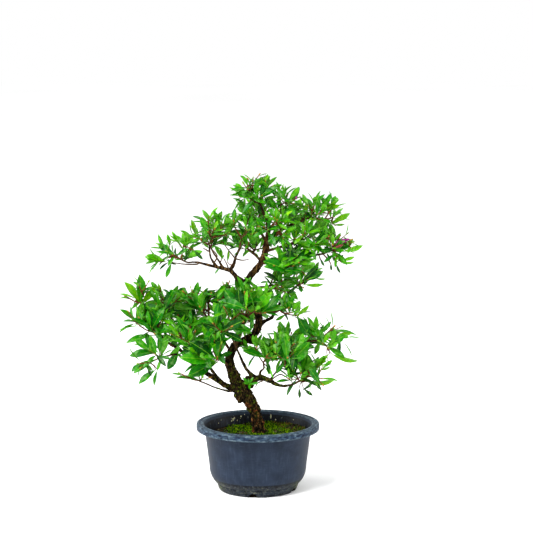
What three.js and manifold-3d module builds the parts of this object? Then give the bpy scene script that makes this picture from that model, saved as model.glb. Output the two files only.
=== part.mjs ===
import * as THREE from "three";
import { mergeVertices } from "three/addons/utils/BufferGeometryUtils.js";
import Module from "manifold-3d";

// A small azalea grown as a bonsai, in a round plastic training pot. Millimetres, +Z up.
// The origin is the centre of the pot's flat underside, and the tree's front faces -Y.

const wasm = await Module();
wasm.setup();

// The pot: a rolled rim, a cone down to the belly, an elliptic curve under it, and a notched foot.
const POT_HEIGHT = 82;
const RIM_RADIUS = 75;
const RIM_MOUTH = 66.4;
const RIM_DEPTH = 8;
const RIM_ROUND = 1.4;
const BODY_TOP_RADIUS = 65;
const BELLY_RADIUS = 59.3;
const BELLY_HEIGHT = 30;
const BELLY_DROP = 23;
const BELLY_TURN = 14.3;
const FOOT_HEIGHT = 6.8;
const FOOT_RADIUS = 47.2;
const FOOT_LEDGE = 49.8;
const BODY_HEIGHTS = [7.6, 9.5, 13, 19, BELLY_HEIGHT];
const WALL = 2.6;
const FLOOR_TOP = 8.6;
const FLOOR_RADIUS = 44;
const NOTCHES = 5;
const NOTCH_RADIUS = 5.4;
const NOTCH_TURN = -7;
const NOTCH_DROP = 0.6;
const CHANNEL_START = 26;
const DRAIN_RADIUS = 4;
const HOLE_SIDES = 12;
const POT_SIDES = 32;

// The soil and its moss: level round the trunk, and rising a little towards the right and the back.
const GROUND = 72;
const SOIL_LEVEL = 70;
const SOIL_RISE_RIGHT = 2.6;
const SOIL_RISE_BACK = 1.8;
const MOSS_MOUND = 1.3;
const FLAT_AROUND_TRUNK = 11;
const SOIL_SIDES = 24;
const SOIL_RINGS = [0.98, 0.84, 0.66, 0.48, 0.32, 0.18];

// The clear gap kept between touching pieces, and the size below which edges of a joined solid are merged.
const GAP = 0.3;
const FINEST_EDGE = 0.02;

// The trunk's centreline with the radius at each point. It starts in the soil and is cut level at GROUND.
const TRUNK = [
  [2.5, 0, 64, 12.2],
  [0.8, 0, 73, 9.6],
  [-0.6, 0, 79, 8.1],
  [-3, -1, 89, 7.4],
  [-6, -2, 100, 7.2],
  [-12, -4, 112, 7.8],
  [-19, -6, 123, 8.6],
  [-27, -7, 136, 7.5],
  [-32, -7, 148, 6.4],
  [-34.5, -6, 161, 5.1],
  [-31, -3, 173, 4.8],
  [-23, 0, 180, 4.8],
  [-13, 3, 184, 5.0],
  [-4.5, 5, 190, 4.9],
  [0, 6, 199, 4.7],
  [1.2, 6, 211, 4.5],
  [-3, 5, 225, 4.2],
  [-11, 3, 239, 4.1],
  [-14.6, 1, 250, 4.2],
  [-11, 0, 259, 4.0],
  [-5, 0, 267, 3.9],
  [3, 0, 277, 3.9],
  [7.5, 0, 286, 3.9],
  [10, 0, 295, 4.2],
  [11, 1, 304, 3.6],
  [12.5, 1, 316, 2.5],
  [11, 1, 328, 2.0],
  [8, 1, 336, 1.8],
];
// The swollen collar under the lowest left bough.
const COLLAR = { at: [-24.5, -5, 114], size: [6.4, 5.6, 5], around: 10, bands: 6 };

// Boughs: where each springs from, as a share of its parent's length, then its route and its two radii.
const BOUGHS = [
  { name: "low_left", on: "trunk", share: 0.225, radii: [3.6, 1.9], sides: 8,
    route: [[-33, -6, 126], [-47, -7, 134], [-64, -8, 146], [-81, -8, 159], [-92, -7, 171], [-106, -6, 180]] },
  { name: "low_left_end", on: "low_left", share: 0.7, radii: [1.6, 1.1],
    route: [[-104, 3, 183], [-115, 3, 194], [-126, 2, 205], [-135, 1, 217]] },
  { name: "low_left_under", on: "low_left", share: 0.66, radii: [1.4, 1.1],
    route: [[-98, -11, 168], [-108, -13, 167]] },
  { name: "low_left_top", on: "low_left", share: 0.63, radii: [1.8, 1.3],
    route: [[-90, -2, 179], [-96, 4, 194], [-103, 7, 206]] },
  { name: "low_left_inner", on: "low_left", share: 0.46, radii: [1.5, 1.1],
    route: [[-75, -14, 160], [-80, -18, 169]] },
  { name: "low_left_lowest", on: "low_left", share: 0.1, radii: [1.5, 1.0],
    route: [[-34, -12, 123], [-50, -16, 128], [-61, -18, 133]] },
  { name: "low_left_back", on: "low_left", share: 0.29, radii: [2.1, 1.3],
    route: [[-63, 8, 154], [-74, 22, 168], [-84, 31, 178]] },
  { name: "low_right", on: "trunk", share: 0.23, radii: [4.4, 1.3], sides: 8,
    route: [[-5, -7, 136], [4, -9, 139], [14, -10, 136], [23, -10, 131], [32, -10, 129], [41, -11, 131]] },
  { name: "low_rise", on: "low_right", share: 0.2, radii: [2.3, 1.2],
    route: [[-13, -11, 149], [-18, -14, 159], [-22, -18, 169], [-26, -21, 179]] },
  { name: "low_right_near", on: "low_right", share: 0.3, radii: [1.6, 1.1],
    route: [[3, -14, 147], [6, -16, 151]] },
  { name: "low_right_mid", on: "low_right", share: 0.52, radii: [1.5, 1.1],
    route: [[18, -15, 142], [23, -18, 149]] },
  { name: "mid_right_low", on: "trunk", share: 0.441, radii: [2.9, 1.2],
    route: [[5, 5, 178], [18, 6, 176], [32, 6, 176], [47, 5, 177], [60, 4, 181]] },
  { name: "low_right_back", on: "mid_right_low", share: 0.3, radii: [1.8, 1.2],
    route: [[18, 18, 172], [28, 27, 168]] },
  { name: "right_rise", on: "trunk", share: 0.523, radii: [2.2, 1.2],
    route: [[8, 5, 206], [17, 3, 211], [21, 2, 220], [26, 1, 228], [31, 1, 237], [38, 0, 243]] },
  { name: "upper_left", on: "trunk", share: 0.673, radii: [3.1, 1.0], sides: 7,
    route: [[-24, 1, 259], [-32, 1, 268], [-40, 1, 271], [-50, 1, 273], [-61, 0, 276], [-73, 0, 279],
      [-83, 0, 279]] },
  { name: "left_inner", on: "upper_left", share: 0.56, radii: [1.5, 1.1],
    route: [[-56, 1, 283], [-58, 1, 292], [-58, 1, 300]] },
  { name: "left_back", on: "upper_left", share: 0.46, radii: [1.5, 1.1],
    route: [[-46, 12, 277], [-53, 22, 286]] },
  { name: "left_fork", on: "upper_left", share: 0.31, radii: [1.9, 1.3],
    route: [[-29, 0, 277], [-26, -2, 287], [-22, -5, 297]] },
  { name: "crown_right_low", on: "trunk", share: 0.798, radii: [2.6, 1.2],
    route: [[15, -1, 280], [27, -1, 282], [41, -2, 284], [55, -3, 287], [68, -3, 288], [78, -4, 290]] },
  { name: "crown_right", on: "trunk", share: 0.884, radii: [2.4, 1.3],
    route: [[19, 1, 309], [29, 1, 318], [39, 1, 324], [50, 0, 328]] },
  { name: "crown_top", on: "trunk", share: 0.928, radii: [1.8, 1.3],
    route: [[17, 3, 322], [22, 4, 331]] },
];
const BOUGH_SIDES = 5;
const TRUNK_SIDES = 8;
const LIMB_STEP = 10;

// Masses of foliage: what each grows from (a bough's tip, or a share of the trunk's length), the middle and
// half sizes of its space, how many shoots fill it, its longest leaf, and a turn and seed for its rule.
const MASSES = [
  { name: "apex", on: "trunk", middle: [-5, 0, 366], reach: [31, 28, 31],
    shoots: 5, leaf: 23, turn: 95, seed: 148 },
  { name: "crown_top", on: "crown_top", middle: [34, 4, 349], reach: [27, 28, 28],
    shoots: 4, leaf: 23, turn: 150, seed: 184 },
  { name: "crown_right", on: "crown_right", middle: [77, 2, 339], reach: [35, 27, 28],
    shoots: 5, leaf: 23, turn: 195, seed: 130 },
  { name: "crown_outer", on: "crown_right_low", middle: [97, -3, 301], reach: [32, 25, 32],
    shoots: 5, leaf: 23, turn: 60, seed: 142, buds: 1 },
  { name: "crown_front", trunk: 0.875, middle: [21, -29, 324], reach: [26, 22, 26],
    shoots: 4, leaf: 22, turn: 270, seed: 182 },
  { name: "crown_inner", trunk: 0.841, middle: [56, -15, 308], reach: [27, 23, 25],
    shoots: 4, leaf: 24, turn: 280, seed: 135 },
  { name: "crown_left", on: "left_fork", middle: [-18, -12, 324], reach: [24, 22, 26],
    shoots: 3, leaf: 23, turn: 30, seed: 139 },
  { name: "crown_under", trunk: 0.788, middle: [-14, 12, 299], reach: [24, 24, 20],
    shoots: 3, leaf: 23, turn: 105, seed: 179 },
  { name: "crown_back_left", trunk: 0.884, middle: [-6, 38, 327], reach: [34, 28, 30],
    shoots: 4, leaf: 23, turn: 0, seed: 169 },
  { name: "crown_back_right", trunk: 0.865, middle: [50, 40, 320], reach: [38, 28, 30],
    shoots: 4, leaf: 23, turn: 325, seed: 146 },
  { name: "mid_right", trunk: 0.783, middle: [38, -24, 280], reach: [33, 24, 25],
    shoots: 4, leaf: 28, turn: 320, seed: 154 },
  { name: "mid_right_outer", on: "right_rise", middle: [58, -3, 259], reach: [30, 24, 21],
    shoots: 3, leaf: 26, turn: 325, seed: 172 },
  { name: "mid_back", trunk: 0.653, middle: [27, 30, 246], reach: [29, 28, 24],
    shoots: 4, leaf: 24, turn: 0, seed: 160 },
  { name: "mid_right_near", trunk: 0.576, middle: [38, -13, 219], reach: [30, 24, 26],
    shoots: 3, leaf: 30, turn: 140, seed: 180 },
  { name: "left_tip", on: "upper_left", middle: [-101, 0, 287], reach: [40, 23, 28],
    shoots: 5, leaf: 23, turn: 355, seed: 128 },
  { name: "left_inner", on: "left_inner", middle: [-50, 0, 318], reach: [31, 25, 28],
    shoots: 5, leaf: 23, turn: 185, seed: 191 },
  { name: "left_back", on: "left_back", middle: [-62, 38, 301], reach: [32, 22, 24],
    shoots: 4, leaf: 23, turn: 0, seed: 171 },
  { name: "low_left_end", on: "low_left_end", middle: [-143, 2, 241], reach: [32, 22, 28],
    shoots: 3, leaf: 29, turn: 270, seed: 175 },
  { name: "low_left_tip", on: "low_left", middle: [-134, -8, 203], reach: [42, 24, 28],
    shoots: 4, leaf: 34, turn: 10, seed: 152 },
  { name: "low_left_under", on: "low_left_under", middle: [-127, -14, 163], reach: [33, 22, 30],
    shoots: 3, leaf: 32, turn: 270, seed: 114 },
  { name: "low_left_top", on: "low_left_top", middle: [-109, 9, 228], reach: [31, 28, 31],
    shoots: 4, leaf: 29, turn: 190, seed: 191 },
  { name: "low_left_mid", trunk: 0.36, middle: [-74, 2, 231], reach: [30, 28, 31],
    shoots: 4, leaf: 30, turn: 240, seed: 103 },
  { name: "low_left_inner", on: "low_left_inner", middle: [-86, -25, 188], reach: [30, 24, 31],
    shoots: 3, leaf: 30, turn: 150, seed: 107 },
  { name: "low_left_lowest", on: "low_left_lowest", middle: [-82, -20, 142], reach: [28, 15, 15],
    shoots: 2, leaf: 28, turn: 210, seed: 174 },
  { name: "low_centre_left", trunk: 0.311, middle: [-62, -36, 177], reach: [35, 24, 32],
    shoots: 3, leaf: 38, turn: 45, seed: 152 },
  { name: "low_centre_top", trunk: 0.51, middle: [-42, 14, 239], reach: [28, 26, 28],
    shoots: 4, leaf: 30, turn: 320, seed: 155 },
  { name: "low_centre_front", trunk: 0.393, middle: [-10, -32, 234], reach: [38, 25, 32],
    shoots: 4, leaf: 38, turn: 240, seed: 158 },
  { name: "low_centre", on: "low_rise", middle: [-38, -33, 207], reach: [31, 23, 28],
    shoots: 3, leaf: 34, turn: 330, seed: 121 },
  { name: "low_left_back", on: "low_left_back", middle: [-94, 46, 199], reach: [42, 28, 33],
    shoots: 4, leaf: 29, turn: 240, seed: 179 },
  { name: "low_centre_back", trunk: 0.398, middle: [-21, 46, 208], reach: [37, 28, 34],
    shoots: 4, leaf: 29, turn: 235, seed: 171 },
  { name: "low_right_near", on: "low_right_near", middle: [6, -20, 168], reach: [29, 20, 26],
    shoots: 3, leaf: 32, turn: 155, seed: 178 },
  { name: "low_right_mid", on: "low_right_mid", middle: [38, -21, 173], reach: [30, 23, 30],
    shoots: 4, leaf: 34, turn: 205, seed: 156 },
  { name: "low_right_under", on: "low_right", middle: [60, -13, 141], reach: [38, 24, 28],
    shoots: 4, leaf: 32, turn: 45, seed: 159 },
  { name: "low_right_tip", on: "mid_right_low", middle: [87, 2, 184], reach: [41, 25, 31],
    shoots: 5, leaf: 29, turn: 70, seed: 110 },
  { name: "low_right_back", on: "low_right_back", middle: [46, 42, 171], reach: [41, 28, 31],
    shoots: 4, leaf: 29, turn: 220, seed: 167 },
];

// The rule that grows a mass.
const GOLDEN_TURN = 137.508;
const LOWEST_SHOOT = -0.6;
const LEAF_INSIDE = 0.8;
const NEAREST_SHOOT = 0.5;
const SHOOT_STRAY = 0.1;
const HUB_SHARE = 0.45;
const LONG_WAY_COST = 0.3;
const TWIG_LIFT = 0.1;
const TWIG_STRAY = 0.08;
const TWIG_TRIES = 6;
const TWIG_CLEARANCE = 1.7;
const TWIG_TIP_RADIUS = 1.0;
const TWIG_SIDES = 3;
const STRAIGHT_TWIG = 20;
const STEM_START = 2;
const STEM_STEPS = 4;
const LEAVES_PER_SHOOT = 5;
const LEAF_SEED = 100;
const WIDE_OPENING = 95;
const NARROW_OPENING = 42;
const WHORL_DEPTH = 4.5;
const WHORL_SHARE = 0.8;
const LEAF_GROWTH = 1.3;
const SMALLEST_LEAF = 0.7;
const LEAF_VARIES = [0.9, 1.08];
const LEAF_FACES_UP = 0.5;
const LEAF_WIDTH = 0.5;
const LEAF_BELLY = 0.55;
const LEAF_THICKNESS = 0.9;
const LEAF_ARCH = 0.07;
const LEAF_DROOP = 0.1;
const LEAF_ROOT_DEPTH = 2;
const LEAF_TRIES = 8;
const SHORTEST_TRY = 0.55;
const LEAF_STRAY = 8;
const LEAF_TURN_ASIDE = 25;
const LEAF_CLEARANCE = 0.8;
const WALL_CLEARANCE = 0.5;

const UP = new THREE.Vector3(0, 0, 1);
const vector = (xyz) => new THREE.Vector3(...xyz);
const lerp = THREE.MathUtils.lerp;
const radians = THREE.MathUtils.degToRad;

// Random numbers from 0 to 1 that are the same on every run.
function seeded(seed) {
  const modulus = 2147483647;
  const factor = 48271;
  let state = (seed * 7919) % modulus;
  return () => {
    state = (state * factor) % modulus;
    return state / modulus;
  };
}

// A closed three.js geometry as a solid that can be joined and cut.
function solidOf(geometry) {
  const bare = geometry.clone();
  bare.deleteAttribute("normal");
  bare.deleteAttribute("uv");
  const merged = mergeVertices(bare, 1e-4);
  const corners = [...merged.index.array];
  const kept = [];
  for (let i = 0; i < corners.length; i += 3) {
    const [a, b, c] = corners.slice(i, i + 3);
    if (a !== b && b !== c && a !== c) kept.push(a, b, c);
  }
  return new wasm.Manifold(
    new wasm.Mesh({
      numProp: 3,
      vertProperties: new Float32Array(merged.attributes.position.array),
      triVerts: new Uint32Array(kept),
    }),
  );
}

function geometryOf(solid) {
  const mesh = solid.getMesh();
  const geometry = new THREE.BufferGeometry();
  const positions = new Float32Array(mesh.numVert * 3);
  for (let i = 0; i < mesh.numVert; i++) {
    const start = i * mesh.numProp;
    positions.set(mesh.vertProperties.subarray(start, start + 3), i * 3);
  }
  geometry.setAttribute("position", new THREE.BufferAttribute(positions, 3));
  geometry.setIndex(new THREE.BufferAttribute(mesh.triVerts, 1));
  geometry.computeVertexNormals();
  return geometry;
}

const largestBody = (solid) =>
  solid.decompose().reduce((best, body) => (body.volume() > best.volume() ? body : best));

// A closed geometry through rings of points, each ring anticlockwise seen from the last one, with flat ends.
function ringedGeometry(rings) {
  const sides = rings[0].length;
  const positions = rings.flat().flatMap((p) => p.toArray());
  const faces = [];
  for (let ring = 0; ring + 1 < rings.length; ring++) {
    const low = ring * sides;
    const high = low + sides;
    for (let side = 0; side < sides; side++) {
      const next = (side + 1) % sides;
      faces.push(low + side, low + next, high + next);
      faces.push(low + side, high + next, high + side);
    }
  }
  const top = (rings.length - 1) * sides;
  for (let side = 1; side + 1 < sides; side++) {
    faces.push(0, side + 1, side);
    faces.push(top, top + side, top + side + 1);
  }
  const geometry = new THREE.BufferGeometry();
  geometry.setAttribute("position", new THREE.Float32BufferAttribute(positions, 3));
  geometry.setIndex(faces);
  return geometry;
}

// A tapering tube through points, with a radius at each one.
function taperedTube(points, radii, sides) {
  let across = null;
  const rings = points.map((point, i) => {
    const before = points[Math.max(i - 1, 0)];
    const after = points[Math.min(i + 1, points.length - 1)];
    const along = after.clone().sub(before).normalize();
    if (!across) {
      const level = Math.abs(along.z) < 0.9 ? UP : new THREE.Vector3(1, 0, 0);
      across = level.clone().cross(along).normalize();
    }
    across = across.clone().addScaledVector(along, -across.dot(along)).normalize();
    const beside = along.clone().cross(across);
    return Array.from({ length: sides }, (_, side) => {
      const angle = (side / sides) * 2 * Math.PI;
      return point
        .clone()
        .addScaledVector(across, Math.cos(angle) * radii[i])
        .addScaledVector(beside, Math.sin(angle) * radii[i]);
    });
  });
  return ringedGeometry(rings);
}

// A limb: a smooth curve through its route, with the radius running evenly between the given ones.
function makeLimb(name, route, radii, sides) {
  const curve = new THREE.CatmullRomCurve3(route, false, "catmullrom", 0.5);
  const count = Math.max(3, Math.round(curve.getLength() / LIMB_STEP));
  const radiusAt = (share) => {
    const place = share * (radii.length - 1);
    const index = Math.min(Math.floor(place), radii.length - 2);
    return lerp(radii[index], radii[index + 1], place - index);
  };
  const points = [];
  const widths = [];
  for (let step = 0; step <= count; step++) {
    points.push(curve.getPoint(step / count));
    widths.push(radiusAt(step / count));
  }
  const tip = points[count];
  const tipDirection = tip.clone().sub(points[count - 1]).normalize();
  const longer = [...points.slice(0, count), tip.clone().addScaledVector(tipDirection, GAP)];
  const wider = widths.map((width) => width + GAP / Math.cos(Math.PI / sides));
  return {
    name,
    curve,
    radiusAt,
    points,
    widths,
    solid: solidOf(taperedTube(points, widths, sides)),
    grown: solidOf(taperedTube(longer, wider, sides)),
    tip,
    tipDirection,
  };
}

function makeTrunk() {
  const trunk = makeLimb(
    "trunk",
    TRUNK.map(([x, y, z]) => new THREE.Vector3(x, y, z)),
    TRUNK.map(([, , , radius]) => radius),
    TRUNK_SIDES,
  );
  const collar = (extra) => {
    const ball = new THREE.SphereGeometry(1, COLLAR.around, COLLAR.bands);
    const [across, deep, high] = COLLAR.size;
    ball.scale(across + extra, deep + extra, high + extra);
    return solidOf(ball.translate(...COLLAR.at));
  };
  const below = new THREE.BoxGeometry(2 * BODY_TOP_RADIUS, 2 * BODY_TOP_RADIUS, GROUND);
  below.translate(0, 0, GROUND / 2);
  trunk.solid = trunk.solid.add(collar(0)).subtract(solidOf(below));
  trunk.grown = trunk.grown.add(collar(GAP));
  return trunk;
}

// Each bough starts on its parent's centreline and is cut clear of every limb made before it.
function makeBoughs(trunk) {
  const limbs = new Map([["trunk", trunk]]);
  for (const { name, on, share, route, radii, sides = BOUGH_SIDES } of BOUGHS) {
    const root = limbs.get(on).curve.getPoint(share);
    const limb = makeLimb(name, [root, ...route.map(vector)], radii, sides);
    for (const earlier of limbs.values()) limb.solid = limb.solid.subtract(earlier.grown);
    limb.solid = largestBody(limb.solid);
    limbs.set(name, limb);
  }
  return limbs;
}

// The pot's outer radius at a height on its body.
function wallRadius(height) {
  if (height >= BELLY_HEIGHT) {
    const share = (height - BELLY_HEIGHT) / (POT_HEIGHT - RIM_DEPTH - BELLY_HEIGHT);
    return lerp(BELLY_RADIUS, BODY_TOP_RADIUS, share);
  }
  const drop = (BELLY_HEIGHT - height) / BELLY_DROP;
  return BELLY_RADIUS - BELLY_TURN * (1 - Math.sqrt(1 - drop * drop));
}

function makePot() {
  const rimBottom = POT_HEIGHT - RIM_DEPTH;
  const outside = BODY_HEIGHTS.map((z) => [wallRadius(z), z]);
  const inside = [BELLY_HEIGHT / 2, BELLY_HEIGHT, rimBottom].map((z) => [wallRadius(z) - WALL, z]);
  const profile = [
    [0, 0],
    [FOOT_RADIUS, 0],
    [FOOT_LEDGE, FOOT_HEIGHT],
    ...outside,
    [BODY_TOP_RADIUS, rimBottom],
    [RIM_RADIUS - RIM_ROUND, rimBottom],
    [RIM_RADIUS, rimBottom + RIM_ROUND],
    [RIM_RADIUS, POT_HEIGHT - RIM_ROUND],
    [RIM_RADIUS - RIM_ROUND, POT_HEIGHT],
    [RIM_MOUTH + RIM_ROUND, POT_HEIGHT],
    [RIM_MOUTH, POT_HEIGHT - RIM_ROUND],
    ...inside.reverse(),
    [FLOOR_RADIUS, FLOOR_TOP],
    [0, FLOOR_TOP],
  ].map(([radius, z]) => new THREE.Vector2(radius, z));
  const lathe = new THREE.LatheGeometry(profile, POT_SIDES).rotateX(Math.PI / 2);
  let pot = solidOf(lathe);
  for (let i = 0; i < NOTCHES; i++) {
    const turn = radians(NOTCH_TURN - 90 + (360 / NOTCHES) * i);
    const length = RIM_RADIUS - CHANNEL_START;
    const channel = new THREE.CylinderGeometry(NOTCH_RADIUS, NOTCH_RADIUS, length, HOLE_SIDES);
    channel.rotateZ(-Math.PI / 2).translate(CHANNEL_START + length / 2, 0, -NOTCH_DROP).rotateZ(turn);
    const drain = new THREE.CylinderGeometry(DRAIN_RADIUS, DRAIN_RADIUS, 3 * FLOOR_TOP, HOLE_SIDES);
    drain.rotateX(Math.PI / 2).translate(CHANNEL_START + DRAIN_RADIUS, 0, 0).rotateZ(turn);
    pot = pot.subtract(solidOf(channel)).subtract(solidOf(drain));
  }
  return pot;
}

// The soil's height at a place, level round the trunk's foot.
function soilHeight(x, y) {
  const slope = (SOIL_RISE_RIGHT * x + SOIL_RISE_BACK * y) / BELLY_RADIUS;
  const mounds = MOSS_MOUND * (Math.sin(x / 11 + 1) * Math.cos(y / 9) + 0.5 * Math.sin(x / 5 + y / 6));
  const away = THREE.MathUtils.smoothstep(Math.hypot(x, y), FLAT_AROUND_TRUNK, 2.4 * FLAT_AROUND_TRUNK);
  return lerp(GROUND - GAP, SOIL_LEVEL + slope + mounds, away);
}

function makeSoil() {
  const ringAt = (radiusOf, heightOf) =>
    Array.from({ length: SOIL_SIDES }, (_, side) => {
      const angle = (side / SOIL_SIDES) * 2 * Math.PI;
      const radius = radiusOf(angle);
      const [x, y] = [Math.cos(angle) * radius, Math.sin(angle) * radius];
      return new THREE.Vector3(x, y, heightOf(x, y));
    });
  const clear = WALL + 3 * GAP;
  const rings = [ringAt(() => FLOOR_RADIUS - 2 * GAP, () => FLOOR_TOP + GAP)];
  for (const z of [BELLY_HEIGHT / 2, BELLY_HEIGHT]) {
    rings.push(ringAt(() => wallRadius(z) - clear, () => z));
  }
  for (const share of SOIL_RINGS) {
    rings.push(ringAt(() => share * (wallRadius(SOIL_LEVEL) - clear), soilHeight));
  }
  return solidOf(ringedGeometry(rings));
}

// Walls between neighbouring masses: each mass keeps to its own side of every one.
function addWalls(masses) {
  const extent = (mass, way) => way.clone().multiply(mass.reach).length();
  for (const mass of masses) mass.walls = [];
  masses.forEach((one, i) => {
    for (const other of masses.slice(i + 1)) {
      const way = other.middle.clone().sub(one.middle);
      const apart = way.length();
      way.normalize();
      const [near, far] = [extent(one, way), extent(other, way)];
      if (near + far < apart) continue;
      const at = one.middle.clone().addScaledVector(way, (apart * near) / (near + far));
      one.walls.push({ at, way });
      other.walls.push({ at, way: way.clone().negate() });
    }
  });
}

function inSpace(mass, point) {
  const out = point.clone().sub(mass.middle).divide(mass.reach).length();
  const beyond = ({ at, way }) => point.clone().sub(at).dot(way);
  return out <= 1 && mass.walls.every((wall) => beyond(wall) < -WALL_CLEARANCE / 2);
}

// Where the shoots of a mass end: evenly round it from its top down, with their leaves' tips at its edge.
function shootPlaces(mass, random) {
  return Array.from({ length: mass.shoots }, (_, i) => {
    const up = 1 - ((i + 0.5) / mass.shoots) * (1 - LOWEST_SHOOT);
    const turn = radians(mass.turn + i * GOLDEN_TURN);
    const out = Math.sqrt(1 - up * up);
    const edge = new THREE.Vector3(out * Math.cos(turn), out * Math.sin(turn), up).multiply(mass.reach);
    const reach = edge.length();
    const inside = Math.max(reach - LEAF_INSIDE * mass.leaf, NEAREST_SHOOT * reach);
    const varied = inside * lerp(1 - SHOOT_STRAY, 1 + SHOOT_STRAY, random());
    return edge.multiplyScalar(varied / reach).add(mass.middle);
  });
}

// Whether a twig from a to b keeps clear of the limbs.
function clearOfWood(a, b, wood) {
  return wood.every(({ from, to, radius }) => lineDistance(a, b, from, to) > radius + TWIG_CLEARANCE);
}

// The first two points of a mass's stem: off the tip of its bough, or moved in along its way until it is just
// clear of the trunk's side.
function stemStart(mass, bough) {
  if (mass.on) {
    const { tip, tipDirection } = bough;
    return [GAP, STEM_START].map((ahead) => tip.clone().addScaledVector(tipDirection, ahead));
  }
  const heart = bough.curve.getPoint(mass.trunk);
  const way = mass.middle.clone().sub(heart).normalize();
  const pointAt = (ahead) => heart.clone().addScaledVector(way, ahead);
  const pointsFrom = (start) => [pointAt(start), pointAt(start + STEM_START)];
  const radius = TWIG_TIP_RADIUS * Math.sqrt(mass.shoots);
  let start = 3 * bough.radiusAt(mass.trunk);
  for (let step = 0; step < STEM_STEPS; step++) {
    const stub = solidOf(taperedTube(pointsFrom(start), [radius, radius], TWIG_SIDES));
    start -= bough.solid.minGap(stub, start) - GAP;
  }
  return pointsFrom(start);
}

// The twigs of a mass: a stem through a hub to its nearest shoot, and each other shoot joined to the nearest
// place already reached. A shoot that no twig can reach clear of the limbs is left out.
function growTwigs(mass, [root, start], wood, random) {
  const hub = start.clone().lerp(mass.middle, HUB_SHARE);
  const joints = [
    { at: root, parent: null, way: 0 },
    { at: start, parent: 0, way: 0 },
    { at: hub, parent: 1, way: start.distanceTo(hub) },
  ];
  const tips = [];
  const chains = [];
  const shoots = shootPlaces(mass, random).sort((a, b) => a.distanceTo(hub) - b.distanceTo(hub));
  for (const place of shoots) {
    const cost = ({ at, way }) => at.distanceTo(place) + LONG_WAY_COST * way;
    const open = joints.slice(2).filter((joint) => !tips.includes(joint));
    const from = open.reduce((best, joint) => (cost(joint) < cost(best) ? joint : best));
    const length = from.at.distanceTo(place);
    for (let attempt = 1; attempt <= TWIG_TRIES; attempt++) {
      const stray = TWIG_STRAY * length * attempt;
      const bend = from.at.clone().lerp(place, 0.5);
      bend.x += lerp(-stray, stray, random());
      bend.y += lerp(-stray, stray, random());
      bend.z -= TWIG_LIFT * length;
      if (!clearOfWood(from.at, bend, wood) || !clearOfWood(bend, place, wood)) continue;
      const chain = chains.length ? [joints.indexOf(from)] : [0, 1, 2];
      if (!chains.length || length > STRAIGHT_TWIG) {
        chain.push(joints.length);
        joints.push({ at: bend, parent: chain.at(-2), way: from.way + length / 2 });
      }
      chain.push(joints.length);
      joints.push({ at: place, parent: chain.at(-2), way: from.way + length });
      tips.push(joints.at(-1));
      chains.push(chain);
      break;
    }
  }
  for (const joint of joints) joint.load = 0;
  for (const tip of tips) {
    for (let joint = tip; joint; joint = joints[joint.parent]) joint.load += 1;
  }
  for (const joint of joints) joint.radius = TWIG_TIP_RADIUS * Math.sqrt(joint.load);
  return { joints, tips, chains };
}

// The corners of a leaf: its root and tip, and its two sides and its ridge at the belly.
function leafCorners(root, along, face, length) {
  const side = along.clone().cross(face).normalize();
  const belly = root.clone().addScaledVector(along, LEAF_BELLY * length);
  const half = (LEAF_WIDTH * length) / 2;
  return {
    root,
    tip: root.clone().addScaledVector(along, length).addScaledVector(face, -LEAF_DROOP * length),
    left: belly.clone().addScaledVector(side, -half).addScaledVector(face, LEAF_ARCH * length),
    right: belly.clone().addScaledVector(side, half).addScaledVector(face, LEAF_ARCH * length),
    ridge: belly.clone().addScaledVector(face, LEAF_ARCH * length + LEAF_THICKNESS),
  };
}

function leafSolid({ root, tip, left, right, ridge }) {
  const geometry = new THREE.BufferGeometry();
  const corners = [root, tip, left, right, ridge].flatMap((p) => p.toArray());
  geometry.setAttribute("position", new THREE.Float32BufferAttribute(corners, 3));
  geometry.setIndex([0, 3, 4, 3, 1, 4, 1, 2, 4, 2, 0, 4, 0, 2, 3, 2, 1, 3]);
  return solidOf(geometry);
}

// The least distance between two straight lines from a to b and from c to d.
function lineDistance(a, b, c, d) {
  const u = b.clone().sub(a);
  const v = d.clone().sub(c);
  const w = a.clone().sub(c);
  const [uu, uv, vv, uw, vw] = [u.dot(u), u.dot(v), v.dot(v), u.dot(w), v.dot(w)];
  const spread = uu * vv - uv * uv;
  const clamp = (value) => THREE.MathUtils.clamp(value, 0, 1);
  let s = spread > 1e-9 ? clamp((uv * vw - vv * uw) / spread) : 0;
  const t = clamp((uv * s + vw) / vv);
  s = clamp((uv * t - uw) / uu);
  return w.addScaledVector(u, s).addScaledVector(v, -t).length();
}

// Whether a leaf comes too near a limb or twig of another piece.
function touchesWood(leaf, wood) {
  const { root, tip, left, right } = leaf;
  const lines = [[root, tip], [root, left], [left, tip], [root, right], [right, tip], [left, right]];
  return wood.some(({ from, to, radius }) =>
    lines.some(([a, b]) => lineDistance(a, b, from, to) < radius + LEAF_CLEARANCE),
  );
}

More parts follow.
